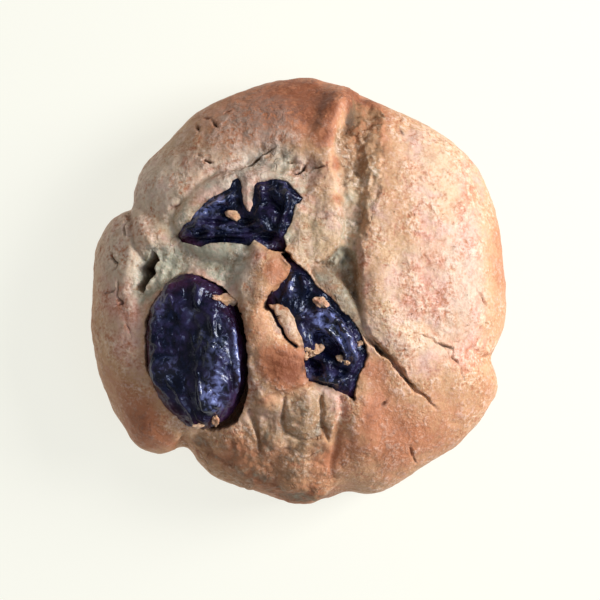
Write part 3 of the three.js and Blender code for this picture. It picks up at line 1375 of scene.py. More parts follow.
    gaps: tuple[Crack, ...] = (
        Crack.along(
            (-3.5, -1.0, 0.30, 0.9), (-4.0, -1.6, 0.34, 1.4), (-3.3, -3.0, 0.34, 1.4),
            (-2.6, -4.1, 0.30, 1.3), (-1.8, -5.4, 0.30, 1.3), (-0.9, -6.6, 0.28, 1.1),
            (-0.1, -7.4, 0.28, 0.9),
        ),
    )  # fmt: skip
    cracks: tuple[Crack, ...] = (
        Crack.along(
            (7.6, -4.6, 0.28, 0.4), (9.3, -6.7, 0.34, 0.9), (10.8, -8.1, 0.30, 0.8),
            (12.4, -9.5, 0.26, 0.7), (13.8, -11.2, 0.22, 0.6), (15.2, -12.6, 0.2, 0.4),
        ),
        Crack.along(
            (-10.5, 14.6, 0.16, 0.2), (-9.0, 15.1, 0.22, 0.5), (-7.6, 15.7, 0.2, 0.5),
            (-6.2, 16.7, 0.2, 0.5), (-4.9, 17.7, 0.24, 0.8), (-3.9, 18.2, 0.2, 0.5),
            (-2.8, 18.8, 0.14, 0.2),
        ),
        Crack.along(
            (16.8, -6.0, 0.16, 0.4), (17.5, -6.7, 0.2, 0.6), (18.6, -7.1, 0.26, 0.9),
            (19.7, -7.4, 0.22, 0.7), (19.7, -8.6, 0.16, 0.5), (20.7, -9.8, 0.14, 0.3),
        ),
        Crack.along((19.9, -6.6, 0.2, 0.4), (21.1, -6.2, 0.16, 0.3)),
        Crack.along((14.6, -5.4, 0.14, 0.3), (15.8, -5.6, 0.15, 0.4), (16.8, -6.1, 0.15, 0.4)),
        Crack.along((20.6, -9.8, 0.14, 0.3), (21.0, -11.0, 0.14, 0.3), (21.8, -11.9, 0.12, 0.2)),
        Crack.along((24.6, -8.7, 0.2, 0.5), (23.6, -9.9, 0.16, 0.3), (22.7, -10.2, 0.14, 0.2)),
        Crack.along(
            (22.8, 0.1, 0.2, 0.25), (23.6, -0.9, 0.22, 0.4), (24.3, -2.0, 0.2, 0.3),
            (25.2, -2.7, 0.2, 0.2),
        ),
        Crack.along((23.9, -3.8, 0.2, 0.3), (24.7, -4.5, 0.2, 0.3)),
        Crack.along((14.1, -19.8, 0.22, 0.3), (14.8, -21.3, 0.22, 0.4), (15.4, -22.4, 0.2, 0.3)),
        Crack.along((10.3, -15.0, 0.25, 0.4), (11.5, -13.7, 0.25, 0.4)),
        Crack.along(
            (4.2, 27.1, 0.3, 0.6), (5.0, 26.8, 0.35, 0.9), (6.0, 26.4, 0.3, 0.6),
            (7.3, 25.6, 0.3, 0.5),
        ),
        Crack.along((-1.9, 16.7, 0.2, 0.5), (-0.9, 16.6, 0.2, 0.4), (0.2, 16.6, 0.2, 0.4)),
        Crack.along(
            (-0.9, 15.1, 0.2, 0.6), (0.3, 15.3, 0.22, 0.9), (0.8, 15.8, 0.26, 1.1),
            (1.0, 16.5, 0.2, 0.6),
        ),
        Crack.along((1.7, 15.9, 0.2, 0.6), (2.6, 15.7, 0.24, 0.9), (3.5, 15.9, 0.2, 0.6)),
        Crack.along((-13.3, 21.6, 0.2, 0.8), (-12.8, 20.7, 0.2, 0.8)),
        Crack.along((-12.2, 22.4, 0.2, 0.6), (-11.3, 22.3, 0.2, 0.6)),
        Crack.along((-11.1, 22.0, 0.2, 0.7), (-10.3, 21.0, 0.2, 0.7)),
        Crack.along((-9.5, 22.9, 0.2, 0.8), (-8.6, 23.2, 0.2, 0.8)),
        Crack.along((-13.3, 17.5, 0.2, 0.6), (-12.6, 17.4, 0.2, 0.6)),
        Crack.along((-12.4, 16.9, 0.2, 0.8), (-11.1, 16.6, 0.2, 0.8)),
        Crack.along((-16.6, 10.7, 0.2, 0.3), (-15.4, 11.1, 0.22, 0.4), (-14.7, 11.6, 0.2, 0.3)),
        Crack.along((14.1, 21.5, 0.32, 0.4), (14.5, 21.3, 0.32, 0.4)),
        Crack.along(
            (-24.5, 5.4, 0.2, 0.3), (-24.2, 4.2, 0.25, 0.5), (-23.4, 3.6, 0.25, 0.5),
            (-23.7, 2.5, 0.2, 0.4),
        ),
        Crack.along((-25.2, -0.3, 0.16, 0.3), (-24.3, -0.2, 0.2, 0.45), (-23.3, 0.3, 0.16, 0.3)),
        Crack.along(
            (-23.2, 1.6, 0.16, 0.3), (-23.2, -0.7, 0.2, 0.35), (-22.6, -1.7, 0.25, 0.5),
            (-23.4, -2.0, 0.18, 0.3),
        ),
        Crack.along((-22.1, -4.2, 0.16, 0.3), (-21.6, -4.9, 0.18, 0.35), (-21.3, -5.9, 0.16, 0.3)),
        Crack.along((-22.5, 9.4, 0.2, 0.3), (-22.9, 8.2, 0.22, 0.4), (-22.5, 7.0, 0.2, 0.35)),
    )  # fmt: skip
    split_area: Patch = Patch(
        (
            (7.0, 25.0), (6.5, 23.6), (5.8, 22.0), (4.8, 20.4), (4.3, 18.5), (4.8, 16.0),
            (5.1, 14.1), (5.4, 12.0), (5.3, 10.9), (5.0, 9.0), (5.0, 6.8), (5.0, 4.9), (4.2, 3.6),
            (2.6, 2.9), (1.9, 2.2), (3.8, -0.2), (5.2, -1.8), (6.4, -3.6), (7.6, -5.4), (9.6, -7.4),
            (13.4, -11.0), (17.5, -14.9), (14.0, -10.5), (10.2, -7.0), (8.4, -5.0), (7.6, -3.0),
            (7.1, -0.5), (7.6, 2.2), (8.2, 4.9), (8.8, 6.8), (9.4, 9.0), (9.9, 10.9), (10.2, 12.0),
            (10.4, 14.1), (10.5, 16.0), (10.7, 18.5), (10.8, 20.3), (11.0, 22.0), (10.9, 23.2),
            (9.5, 24.0),
        )
    )  # fmt: skip
    hollow_area: Patch = Patch(
        (
            (-21.0, 4.6), (-19.0, 5.8), (-17.0, 7.0), (-16.6, 9.6), (-15.4, 11.8), (-13.0, 13.2),
            (-11.3, 15.2), (-9.4, 16.5), (-7.0, 17.8), (-4.6, 19.2), (-2.4, 18.6), (0.4, 17.4),
            (2.4, 16.0), (1.6, 13.0), (0.6, 10.4), (-0.4, 8.0), (-0.6, 6.2), (-2.6, 5.8),
            (-4.6, 6.8), (-5.9, 6.0), (-6.6, 3.6), (-7.4, 0.6), (-9.0, 0.2), (-13.4, 2.6),
            (-17.2, 1.0), (-20.4, -2.4), (-21.4, 0.0),
        )
    )  # fmt: skip
    valley_area: Patch = Patch(
        (
            (1.6, 3.2), (3.4, 4.0), (5.2, 5.6), (7.0, 5.0), (7.6, 2.2), (7.7, -0.5), (8.0, -3.0),
            (8.4, -5.4), (7.4, -5.6), (6.2, -3.6), (5.0, -1.8), (3.6, -0.2), (2.2, 1.2),
        )
    )  # fmt: skip
    dark_hole: Patch = Patch(
        (
            (-19.3, 5.3), (-18.5, 4.2), (-19.2, 3.2), (-19.0, 2.3), (-19.8, 0.9), (-20.3, 0.0),
            (-21.2, 0.5), (-20.7, 2.0), (-21.3, 3.1), (-20.2, 4.1),
        )
    )  # fmt: skip
    coarse_area: Patch = Patch(
        (
            (-14.0, -18.6), (-8.0, -18.2), (-5.8, -15.0), (-5.4, -13.4), (-1.0, -12.6),
            (3.6, -12.6), (5.6, -13.8), (5.4, -17.0), (4.4, -20.0), (3.8, -22.7), (4.4, -25.0),
            (5.4, -28.0), (0.0, -30.0), (-8.0, -28.0), (-14.5, -23.0),
        )
    )  # fmt: skip

    flap_area: Patch = Patch(
        (
            (-5.9, 6.3), (-3.8, 5.4), (-1.6, 4.8), (-1.0, 3.3), (-1.7, 1.6), (-2.8, 0.5),
            (-3.9, -0.7), (-4.3, -1.8), (-4.2, -3.4), (-3.3, -4.9), (-2.0, -6.4), (0.2, -7.6),
            (1.0, -8.6), (1.1, -10.6), (0.7, -11.8), (-1.1, -12.4), (-3.2, -12.8), (-5.2, -13.4),
            (-6.1, -11.3), (-6.6, -7.9), (-6.9, -4.5), (-7.2, -1.1), (-7.9, 0.9), (-8.2, 2.9),
            (-7.2, 4.9),
        )
    )  # fmt: skip

    # Spots of painted shadow, darkening crust that lies in shade.
    shadow_spots: tuple[Swell, ...] = (
        Swell(-5.0, 16.4, 4.4, 1.7, 0.40, 26, 1.5),
        Swell(6.7, 22.0, 0.7, 1.8, 2.2, -8, 1.5),
        Swell(13.5, 20.4, 0.30, 0.45, 2.6, 10, 1.5),
        Swell(8.6, 6.6, 0.6, 0.6, 1.2, 0, 1.5),
    )
    crumbling: tuple[Swell, ...] = (
        Swell(2.8, 9.0, 3.0, 6.5, 0.50, 0, 1.6),
        Swell(-3.6, -2.0, 2.6, 9.0, 0.42, 5, 1.6),
        Swell(-3.0, 15.6, 5.0, 2.0, 0.30, 10, 1.5),
        Swell(6.0, -14.0, 4.0, 3.0, 0.40, 0, 1.4),
    )
    # Browning, and some swells of painted shade and painted highlight, marked below.
    browning_and_painted_light: tuple[Swell, ...] = (
        Swell(0.8, 25.0, 4.4, 4.0, 1.15, -10),
        # Painted shade: these two darken the upper-left slope, which faces away from the key light.
        Swell(-7.0, 22.5, 7.5, 4.6, 0.75, 20),
        Swell(-3.0, 22.0, 6.0, 5.0, 0.35),
        Swell(1.4, 22.5, 2.0, 4.0, 0.30),
        Swell(12.2, 12.0, 2.6, 8.0, 0.35),
        Swell(13.0, -19.0, 4.0, 3.0, 0.20),
        Swell(7.4, 22.0, 1.2, 4.0, 0.85),
        Swell(8.3, 12.0, 0.8, 8.0, 0.30),
        Swell(3.8, 22.5, 0.9, 2.2, 0.45),
        Swell(3.5, 19.3, 1.2, 1.1, 0.80),
        Swell(4.4, 16.1, 0.7, 1.1, 0.85),
        Swell(5.0, 11.3, 0.8, 1.0, 0.85),
        Swell(5.8, 25.0, 1.0, 1.0, 0.50),
        Swell(9.8, 21.0, 1.4, 3.0, 0.45),
        Swell(9.4, 15.5, 1.0, 4.5, 0.12),
        Swell(8.8, 9.5, 0.9, 4.0, 0.30),
        Swell(2.0, 14.0, 2.0, 4.0, 0.16),
        Swell(-2.9, 2.8, 1.8, 2.2, 0.75),
        Swell(-1.4, -9.6, 2.8, 2.6, 1.75),
        Swell(-5.0, -5.0, 1.8, 4.5, 0.42),
        Swell(9.6, -9.4, 1.6, 2.2, 0.50),
        Swell(3.0, -21.8, 1.8, 2.4, 0.55),
        Swell(9.6, -15.0, 1.6, 2.4, 0.35),
        Swell(-3.9, -13.8, 1.6, 1.1, 0.45),
        Swell(-27.5, -4.0, 1.8, 9.0, 0.28),
        Swell(-19.5, -17.5, 3.0, 2.4, 0.55, -35),
        Swell(-16.8, -18.9, 1.6, 1.4, 0.20),
        # Painted highlight: these three pale the bright crest on the split's left edge.
        Swell(5.4, 17.2, 0.45, 1.8, -0.7),
        Swell(5.9, 14.0, 0.5, 1.6, -0.5),
        Swell(5.6, 7.5, 0.5, 3.0, -0.5),
        # Painted shade on the strip below the ledge.
        Swell(-5.0, 17.0, 3.0, 1.4, 0.35, 25),
        Swell(-23.0, -13.0, 4.5, 5.0, 0.42),
        Swell(18.0, -17.0, 9.0, 6.5, 0.40, -20),
        Swell(10.5, -20.0, 6.0, 6.0, 0.42),
        Swell(5.6, -20.6, 1.8, 2.8, 0.40),
        Swell(-8.0, -21.0, 5.0, 3.0, 0.70),
        Swell(1.8, -25.8, 1.6, 1.2, 0.62),
        Swell(-1.5, -27.6, 8.0, 2.2, 0.40),
        Swell(-17.0, -19.4, 1.8, 1.4, 0.30),
        Swell(6.2, 19.0, 0.9, 2.4, 0.25),
        Swell(-1.0, -24.0, 7.0, 4.0, 0.36),
        Swell(24.5, -12.5, 3.0, 3.0, 0.28),
        Swell(10.8, -11.5, 2.5, 3.5, 0.26),
        Swell(27.5, 4.0, 3.2, 10.0, 0.50),
        Swell(9.5, 24.4, 2.6, 1.4, 0.60),
        Swell(-3.5, 0.0, 2.6, 5.0, 0.15),
        Swell(-20.0, -15.5, 3.0, 3.0, 0.25),
        Swell(11.0, 18.0, 1.4, 6.0, 0.22),
        Swell(14.0, 22.5, 4.0, 1.6, 0.20),
        Swell(9.6, 1.0, 1.2, 5.0, 0.25),
    )
    blushing: tuple[Swell, ...] = (
        Swell(18.0, -17.0, 10.0, 7.0, 1.00),
        Swell(5.6, -20.5, 2.4, 4.8, 0.60),
        Swell(21.0, 2.0, 4.5, 9.0, 0.35),
        Swell(0.0, 24.0, 5.0, 3.0, 0.30),
        Swell(-24.0, -9.0, 4.0, 8.0, 0.15),
        Swell(-2.8, 3.0, 1.2, 1.8, 0.30),
        Swell(11.6, 9.0, 2.4, 11.0, -0.38),
        Swell(11.0, -3.0, 2.4, 3.0, -0.50),
        Swell(2.6, 9.0, 2.6, 6.0, -0.45),
        Swell(0.0, -18.0, 4.5, 6.5, -0.55),
        Swell(-5.4, -5.5, 1.3, 5.5, -0.60, 5),
        Swell(-16.0, 11.0, 4.0, 4.5, -0.45),
        Swell(-10.0, 17.5, 5.0, 2.0, -0.35, 25),
        Swell(7.6, 14.0, 2.0, 9.0, -0.50),
        Swell(6.0, 1.0, 1.8, 4.5, -0.85),
        Swell(-17.5, -16.5, 3.0, 3.0, 0.50),
        Swell(9.0, -25.0, 8.0, 3.0, 0.50),
    )
    # Flour dust, and some swells of painted shade, marked below.
    flouring_and_painted_shade: tuple[Swell, ...] = (
        Swell(-19.0, 13.5, 6.0, 6.0, 0.55, 30),
        Swell(-23.5, 4.5, 4.0, 5.0, 0.50),
        Swell(-7.0, 2.6, 1.5, 3.6, 0.60),
        # Painted shade: these two grey the strip below the ledge and the upper-left slope.
        Swell(-6.0, 16.4, 5.0, 2.4, 0.65, 28),
        Swell(-7.0, 20.5, 8.0, 5.0, 0.35, 20),
        Swell(-22.0, -4.0, 4.0, 7.0, 0.15),
        Swell(21.0, 2.0, 3.0, 7.0, 0.55),
    )

    def build(self) -> bpy.types.Object:
        """Builds the dough.

        Returns:
            The dressed piece, which stands for the CAD dough.
        """
        bm = bmesh.new()
        bmesh.ops.create_icosphere(bm, subdivisions=self.ball_level, radius=1.0)
        bm.verts.index_update()
        refine_ball(bm, lambda d: self._detail(d) >= 1)
        refine_ball(bm, lambda d: self._detail(d) >= 2)
        directions = coordinates(bm)
        places, paints = self._shape(directions)
        move_to(bm, places)
        for name, values in paints.items():
            paint(bm, name.value, values)
        piece = make_piece("cookie_dough", bm, CrustFinish().material())
        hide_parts("dough")
        return piece

    def _detail(self, directions: Array) -> Array:
        """Works out where the skin needs finer faces.

        Args:
            directions: The ball's unit directions, one a row.

        Returns:
            0 for none, 1 for some and 2 for the most, for each direction.
        """
        base = self.dome.wrap(directions)
        x, y = base[:, 0], base[:, 1]
        above = base[:, 2] > self.dome.waist + 1.0
        edge = np.full(len(x), 9.0)
        for seat in SEATS:
            edge = np.minimum(edge, np.abs(seat.window.inside(x, y)))
        for shape in (*self.gaps, *self.cracks, *self.ledges):
            edge = np.minimum(edge, np.abs(shape.line.follow(x, y)[0]) + 0.25)
        edge = np.minimum(edge, np.abs(self.dark_hole.inside(x, y)))
        torn = self.split_area.inside(x, y)
        coarse = self.coarse_area.inside(x, y)
        crumbling = total(self.crumbling, x, y)
        some = (edge < 0.9) | (torn > -0.8) | (coarse > 0.5) | (crumbling > 0.45)
        most = (edge < 0.45) | (np.abs(torn) < 0.3)
        return (some.astype(int) + most) * above

    def _shape(self, directions: Array) -> tuple[Array, dict[Paint, Array]]:
        """Works out the dough's skin.

        Args:
            directions: The ball's unit directions, one a row.

        Returns:
            The places of the vertices and the numbers painted on them.
        """
        dome = self.dome
        base = dome.wrap(directions)
        normal = dome.normals(directions)
        radius = np.maximum(dome.radius(np.arctan2(base[:, 1], base[:, 0])), 1.0)
        share = np.hypot(base[:, 0], base[:, 1]) / radius
        foot = ease(base[:, 2], 0.05, 2.2)
        plan = self._plan(base)
        zones = self._zones(base, normal, plan)
        relief = self._relief(base, plan, zones, foot)

        fade = foot * np.where(base[:, 2] < dome.waist, 0.4 + 0.6 * foot, 1.0)
        places = base + normal * (relief.height * fade)[:, None]
        under = base[:, 2] < UNDERSIDE
        places[under, 2] = self._underside_pits(base, share)[under]
        places, beds = self._bed_raisins(places, zones.top)
        gap = deepest(self.gaps, *plan.bent) * zones.top
        places[:, 2] -= gap

        paints = self._paints(base, share, relief.rise, zones)
        # Painted shade and stains, as one share.
        paints[Paint.PIT] = self._shade_and_stains(plan, relief, zones, beds, gap)
        paints[Paint.BAKE] = np.clip(paints[Paint.BAKE] + 0.16 * beds.rims, 0, 1.4)
        return places, paints

    @staticmethod
    def _plan(base: Array) -> Plan:
        """Moves the places about in the plan.

        Args:
            base: The plain form's places.

        Returns:
            The moved places.
        """
        bend_x, bend_y = 0.34 * grain(base, 1.7, 1), 0.34 * grain(base, 1.7, 2)
        fray_x, fray_y = 0.15 * grain(base, 0.6, 3), 0.15 * grain(base, 0.6, 4)
        swing_x, swing_y = 0.55 * grain(base, 3.6, 18), 0.55 * grain(base, 3.6, 19)
        x, y = base[:, 0] + bend_x + fray_x, base[:, 1] + bend_y + fray_y
        return Plan(
            fine=(x - 0.6 * bend_x, y - 0.6 * bend_y),
            bent=(x, y),
            swung=(x + swing_x, y + swing_y),
            less_swung=(x + 0.8 * swing_x, y + 0.8 * swing_y),
        )

    def _zones(self, base: Array, normal: Array, plan: Plan) -> Zones:
        """Works out which part of the dough each place is in.

        Args:
            base: The plain form's places.
            normal: Its normals.
            plan: The places moved about in the plan.

        Returns:
            The shares.
        """
        x, y = plan.swung
        top = ease(normal[:, 2], 0.02, 0.5)
        torn = self.split_area.share(x, y, 1.2) * top
        coarse = np.maximum(self.coarse_area.share(x, y, 2.5), total(self.crumbling, x, y)) * top
        hollow = self.hollow_area.share(x, y, 1.8) * top
        valley = self.valley_area.share(*plan.fine, 1.1) * top
        hole = self.dark_hole.share(*plan.fine, 0.35) * top
        rough = np.maximum.reduce((coarse, torn, hollow, valley)) > 0.01
        bend = np.stack((x, y, base[:, 2]), axis=1)[rough]
        knobs, crumbs, bits = (np.full(len(x), LEVEL_LUMP) for _ in range(3))
        knobs[rough] = lumps(bend, 2.9, 1)
        crumbs[rough] = lumps(bend, 1.25, 2)
        bits[rough] = lumps(bend, 0.62, 3)
        return Zones(top, torn, coarse, hollow, valley, hole, knobs, crumbs, bits)

    def _relief(self, base: Array, plan: Plan, zones: Zones, foot: Array) -> Relief:
        """Works out what stands on the plain form.

        Args:
            base: The plain form's places.
            plan: The places moved about in the plan.
            zones: Which part of the dough each place is in.
            foot: Share from 0 at the foot to 1 a little above it.

        Returns:
            The heights and depths.
        """
        top = zones.top
        rise = total(self.swells, *plan.swung) + total(self.ridges, *plan.bent)
        split = np.maximum(
            deepest(self.splits[:1], *plan.swung), deepest(self.splits[1:], *plan.less_swung)
        )
        drop = total(self.ledges, *plan.bent)
        broken = 0.35 + 0.65 * ease(grain(base, 1.5, 29), -0.35, 0.15)
        crack = deepest(self.cracks, *plan.fine) * broken
        height = (rise - split - drop - crack) * top
        height += self.flap_height * self.flap_area.share(*plan.bent, 0.8) * top
        height -= self.hollow_depth * zones.hollow + self.valley_depth * zones.valley
        height -= self.hole_depth * zones.hole
        height += self._roughness(base, zones)
        side = (1 - top) * foot
        height += side * (0.35 * grain(base, 4.5, 9) + 0.16 * grain(base, 1.6, 10))
        return Relief(rise, split, crack, height)

    @staticmethod
    def _roughness(base: Array, zones: Zones) -> Array:
        """Works out the crust's own unevenness and the crumbs in the torn parts.

        Args:
            base: The plain form's places.
            zones: Which part of the dough each place is in.

        Returns:
            The height at each place.
        """
        top, torn, coarse = zones.top, zones.torn, zones.coarse
        soft = np.maximum(zones.hollow, zones.valley)
        height = 0.30 * grain(base, 7.5, 5) + 0.17 * grain(base, 3.4, 6) * (1 + 0.5 * coarse)
        height += (0.085 + 0.04 * coarse) * grain(base, 1.3, 7)
        height += (0.035 + 0.03 * coarse + 0.08 * torn + 0.05 * soft) * grain(base, 0.6, 8)
        height += (0.10 * soft + 0.18 * torn + 0.06 * coarse) * grain(base, 1.0, 31)
        height -= 0.28 * np.clip(grain(base, 1.15, 16) - 0.38, 0, 1) * top
        height += (0.18 * coarse + 0.50 * torn + 0.26 * soft) * (zones.knobs - LEVEL_LUMP)
        height += (0.16 * coarse + 0.40 * torn + 0.26 * soft) * (zones.crumbs - LEVEL_LUMP)
        height += (0.08 * coarse + 0.14 * torn + 0.10 * soft) * (zones.bits - LEVEL_LUMP)
        return height

    @staticmethod
    def _underside_pits(base: Array, share: Array) -> Array:
        """Works out the fine pits in the flat underside.

        Args:
            base: The plain form's places.
            share: Distance from the middle as a share of the outline's radius.

        Returns:
            How far each place is sunk, 0 at the rim.
        """
        pits = 1.1 * np.clip(grain(base, 1.5, 11) - 0.32, 0, 1)
        pits += np.clip(grain(base, 0.7, 12) - 0.4, 0, 1)
        return np.clip(pits, 0, 0.5) * ease(1 - share, 0.1, 0.2)

    def _bed_raisins(self, places: Array, top: Array) -> tuple[Array, Beds]:
        """Sinks the dough under each raisin's window, and laps it over the raisin outside.

        Args:
            places: The dough's skin so far.
            top: Share by which each place faces up.

        Returns:
            The new places, and how each place lies to the raisins.
        """
        beds = Beds(*(np.zeros(len(places)) for _ in range(3)))
        for seat in SEATS:
            middle, axes = seat.frame(self.dome)
            local = (places - middle) @ axes.T
            reach = seat.share(local)
            near = (reach < 1.6) & (top > 0.3)
            close = places[near]
            edge = np.full(len(places), -9.0)
            edge[near] = seat.window.inside(*self._frayed(close, seat.fray))
            open_share = ease(edge, -0.5 * self.window_edge, 0.5 * self.window_edge)
            surface = seat.surface(local)
            bed = surface - seat.bed - self.skirt * ease(reach, 1.0, 1.15)
            sink = np.minimum(0.0, bed - local[:, 2]) * open_share
            lip = seat.lap * (0.25 + 0.75 * ease(-edge, 0.0, 1.3))
            lift = surface + lip - local[:, 2]
            over = 0.5 * (lift + np.hypot(lift, 0.4)) * ease(1.15 - reach, 0.0, 0.2)
            over = np.where(near & (seat.lap > 0), over * (1 - open_share), 0.0)
            places = places + axes[2] * (sink + over)[:, None]
            spots = np.zeros(len(places))
            spots[near] = ease(grain(close, 1.1, 25) + 0.5 * grain(close, 0.45, 26), -0.05, 0.4)
            stained = seat.stain * ease(edge, -0.75, 0.0) * (0.12 + 0.5 * spots)
            beds = Beds(
                under=np.maximum(beds.under, open_share),
                rims=np.maximum(beds.rims, ease(edge, -1.0, -0.1) * (1 - open_share)),
                stains=np.maximum(beds.stains, stained),
            )
        return places, beds

    @staticmethod
    def _frayed(places: Array, fray: float) -> Pair:
        """Moves places about in the plan, so that the dough's edge round a raisin is ragged.

        Args:
            places: Places in millimetres, one a row.
            fray: How ragged the edge is.

        Returns:
            The moved places, across and up the plan.
        """
        return (
            places[:, 0] + fray * (0.26 * grain(places, 1.3, 21) + 0.15 * grain(places, 0.5, 23)),
            places[:, 1] + fray * (0.26 * grain(places, 1.3, 22) + 0.15 * grain(places, 0.5, 24)),
        )

    def _shade_and_stains(self, plan: Plan, relief: Relief, zones: Zones, beds: Beds, gap: Array) -> Array:
        """Works out the painted shade in the cracks, gaps, nooks, dark hole and valley and under
        the raisins, and the stains round the raisins.

        Args:
            plan: The places moved about in the plan.
            relief: What stands on the plain form.
            zones: Which part of the dough each place is in.
            beds: How each place lies to the raisins.
            gap: Depth of the gaps beside the flap.

        Returns:
            A share from 0 to 1 for each place.
        """
        # Painted shade in the cracks and gaps.
        cut = np.maximum(ease(relief.crack, 0.10, 0.6) * 0.8 * zones.top, ease(gap, 0.1, 0.6))
        # Painted shade in the deep parts of the split, in the shadow spots and in the seams between
        # the knobs.
        nook_shade = ease(relief.split, 0.7, 1.8) * (1 - ease(zones.crumbs, 0.2, 0.6)) * zones.torn
        nook_shade += total(self.shadow_spots, *plan.bent) * zones.top
        nook_shade += 0.75 * zones.coarse * (1 - ease(zones.knobs, 0.10, 0.42))
        # Painted shade in the valley.
        painted_shade = zones.valley * (0.46 - 0.22 * ease(zones.crumbs, 0.3, 0.9))
        dark = (cut, 1.5 * zones.hole, 0.62 * beds.under, 0.32 * nook_shade, painted_shade, beds.stains)
        return np.clip(np.maximum.reduce(dark), 0, 1)

    def _paints(self, base: Array, share: Array, rise: Array, zones: Zones) -> dict[Paint, Array]:
        """Works out the numbers painted on the dough.

        Args:
            base: The plain form's places.
            share: Distance from the middle as a share of the outline's radius.
            rise: Height of the swells and ridges.
            zones: Which part of the dough each place is in.

        Returns:
            The numbers by name.
        """
        x, y = base[:, 0] + 0.8 * grain(base, 2.4, 27), base[:, 1] + 0.8 * grain(base, 2.4, 28)
        faces_up = ease(zones.top, 0.0, 0.3)
        torn, coarse, hollow, valley = zones.torn, zones.coarse, zones.hollow, zones.valley
        # Browning, with painted shade and highlights where the swells above give them.
        bake = total(self.browning_and_painted_light, x, y) * faces_up
        bake += 0.09 + 0.18 * ease(share, 0.78, 1.0) + 0.08 * np.clip(rise, -0.5, 1.2)
        bake += 0.30 * coarse * (0.75 - zones.knobs) + 0.12 * grain(base, 5.0, 13)
        bake += (0.60 + 0.25 * grain(base, 3.0, 30)) * (1 - ease(base[:, 2], 0.5, 9.0))
        # The valley gets painted shade; the hollow and the torn parts are paler.
        bake += 0.15 * valley - 0.25 * hollow - 0.12 * torn * ease(16.5 - y, 0.0, 4.0)
        under = base[:, 2] < UNDERSIDE
        bake[under] = 0.62 + 0.16 * grain(base[under], 6.0, 14) + 0.12 * grain(base[under], 1.5, 15)
        bake[under] += 0.2 * ease(share[under], 0.6, 0.92)
        cream = (0.72 - 0.34 * ease(y, 4.5, 9.0)) * hollow + 0.40 * valley
        cream += (0.14 + 0.16 * ease(19.0 - y, 0.0, 5.0)) * torn * (1 - valley)
        cream += 0.30 * coarse * (1 - zones.knobs)
        cream *= 1 - 0.8 * zones.hole
        # Flour dust, with painted shade where the swells above give it.
        flour = total(self.flouring_and_painted_shade, x, y) * faces_up
        faded = torn * (1 - 0.3 * ease(16.5 - y, 0.0, 4.0))
        return {
            Paint.BAKE: bake,
            Paint.CREAM: np.clip(cream, 0, 1),
            Paint.FLOUR: np.clip(flour, 0, 1),
            Paint.CRUMB: np.clip(faded + 0.7 * coarse + 0.45 * hollow + valley, 0, 1),
            Paint.BLUSH: np.clip(total(self.blushing, x, y) * faces_up, -1, 1),
        }


# ---------------------------------------------------------------- the raisins


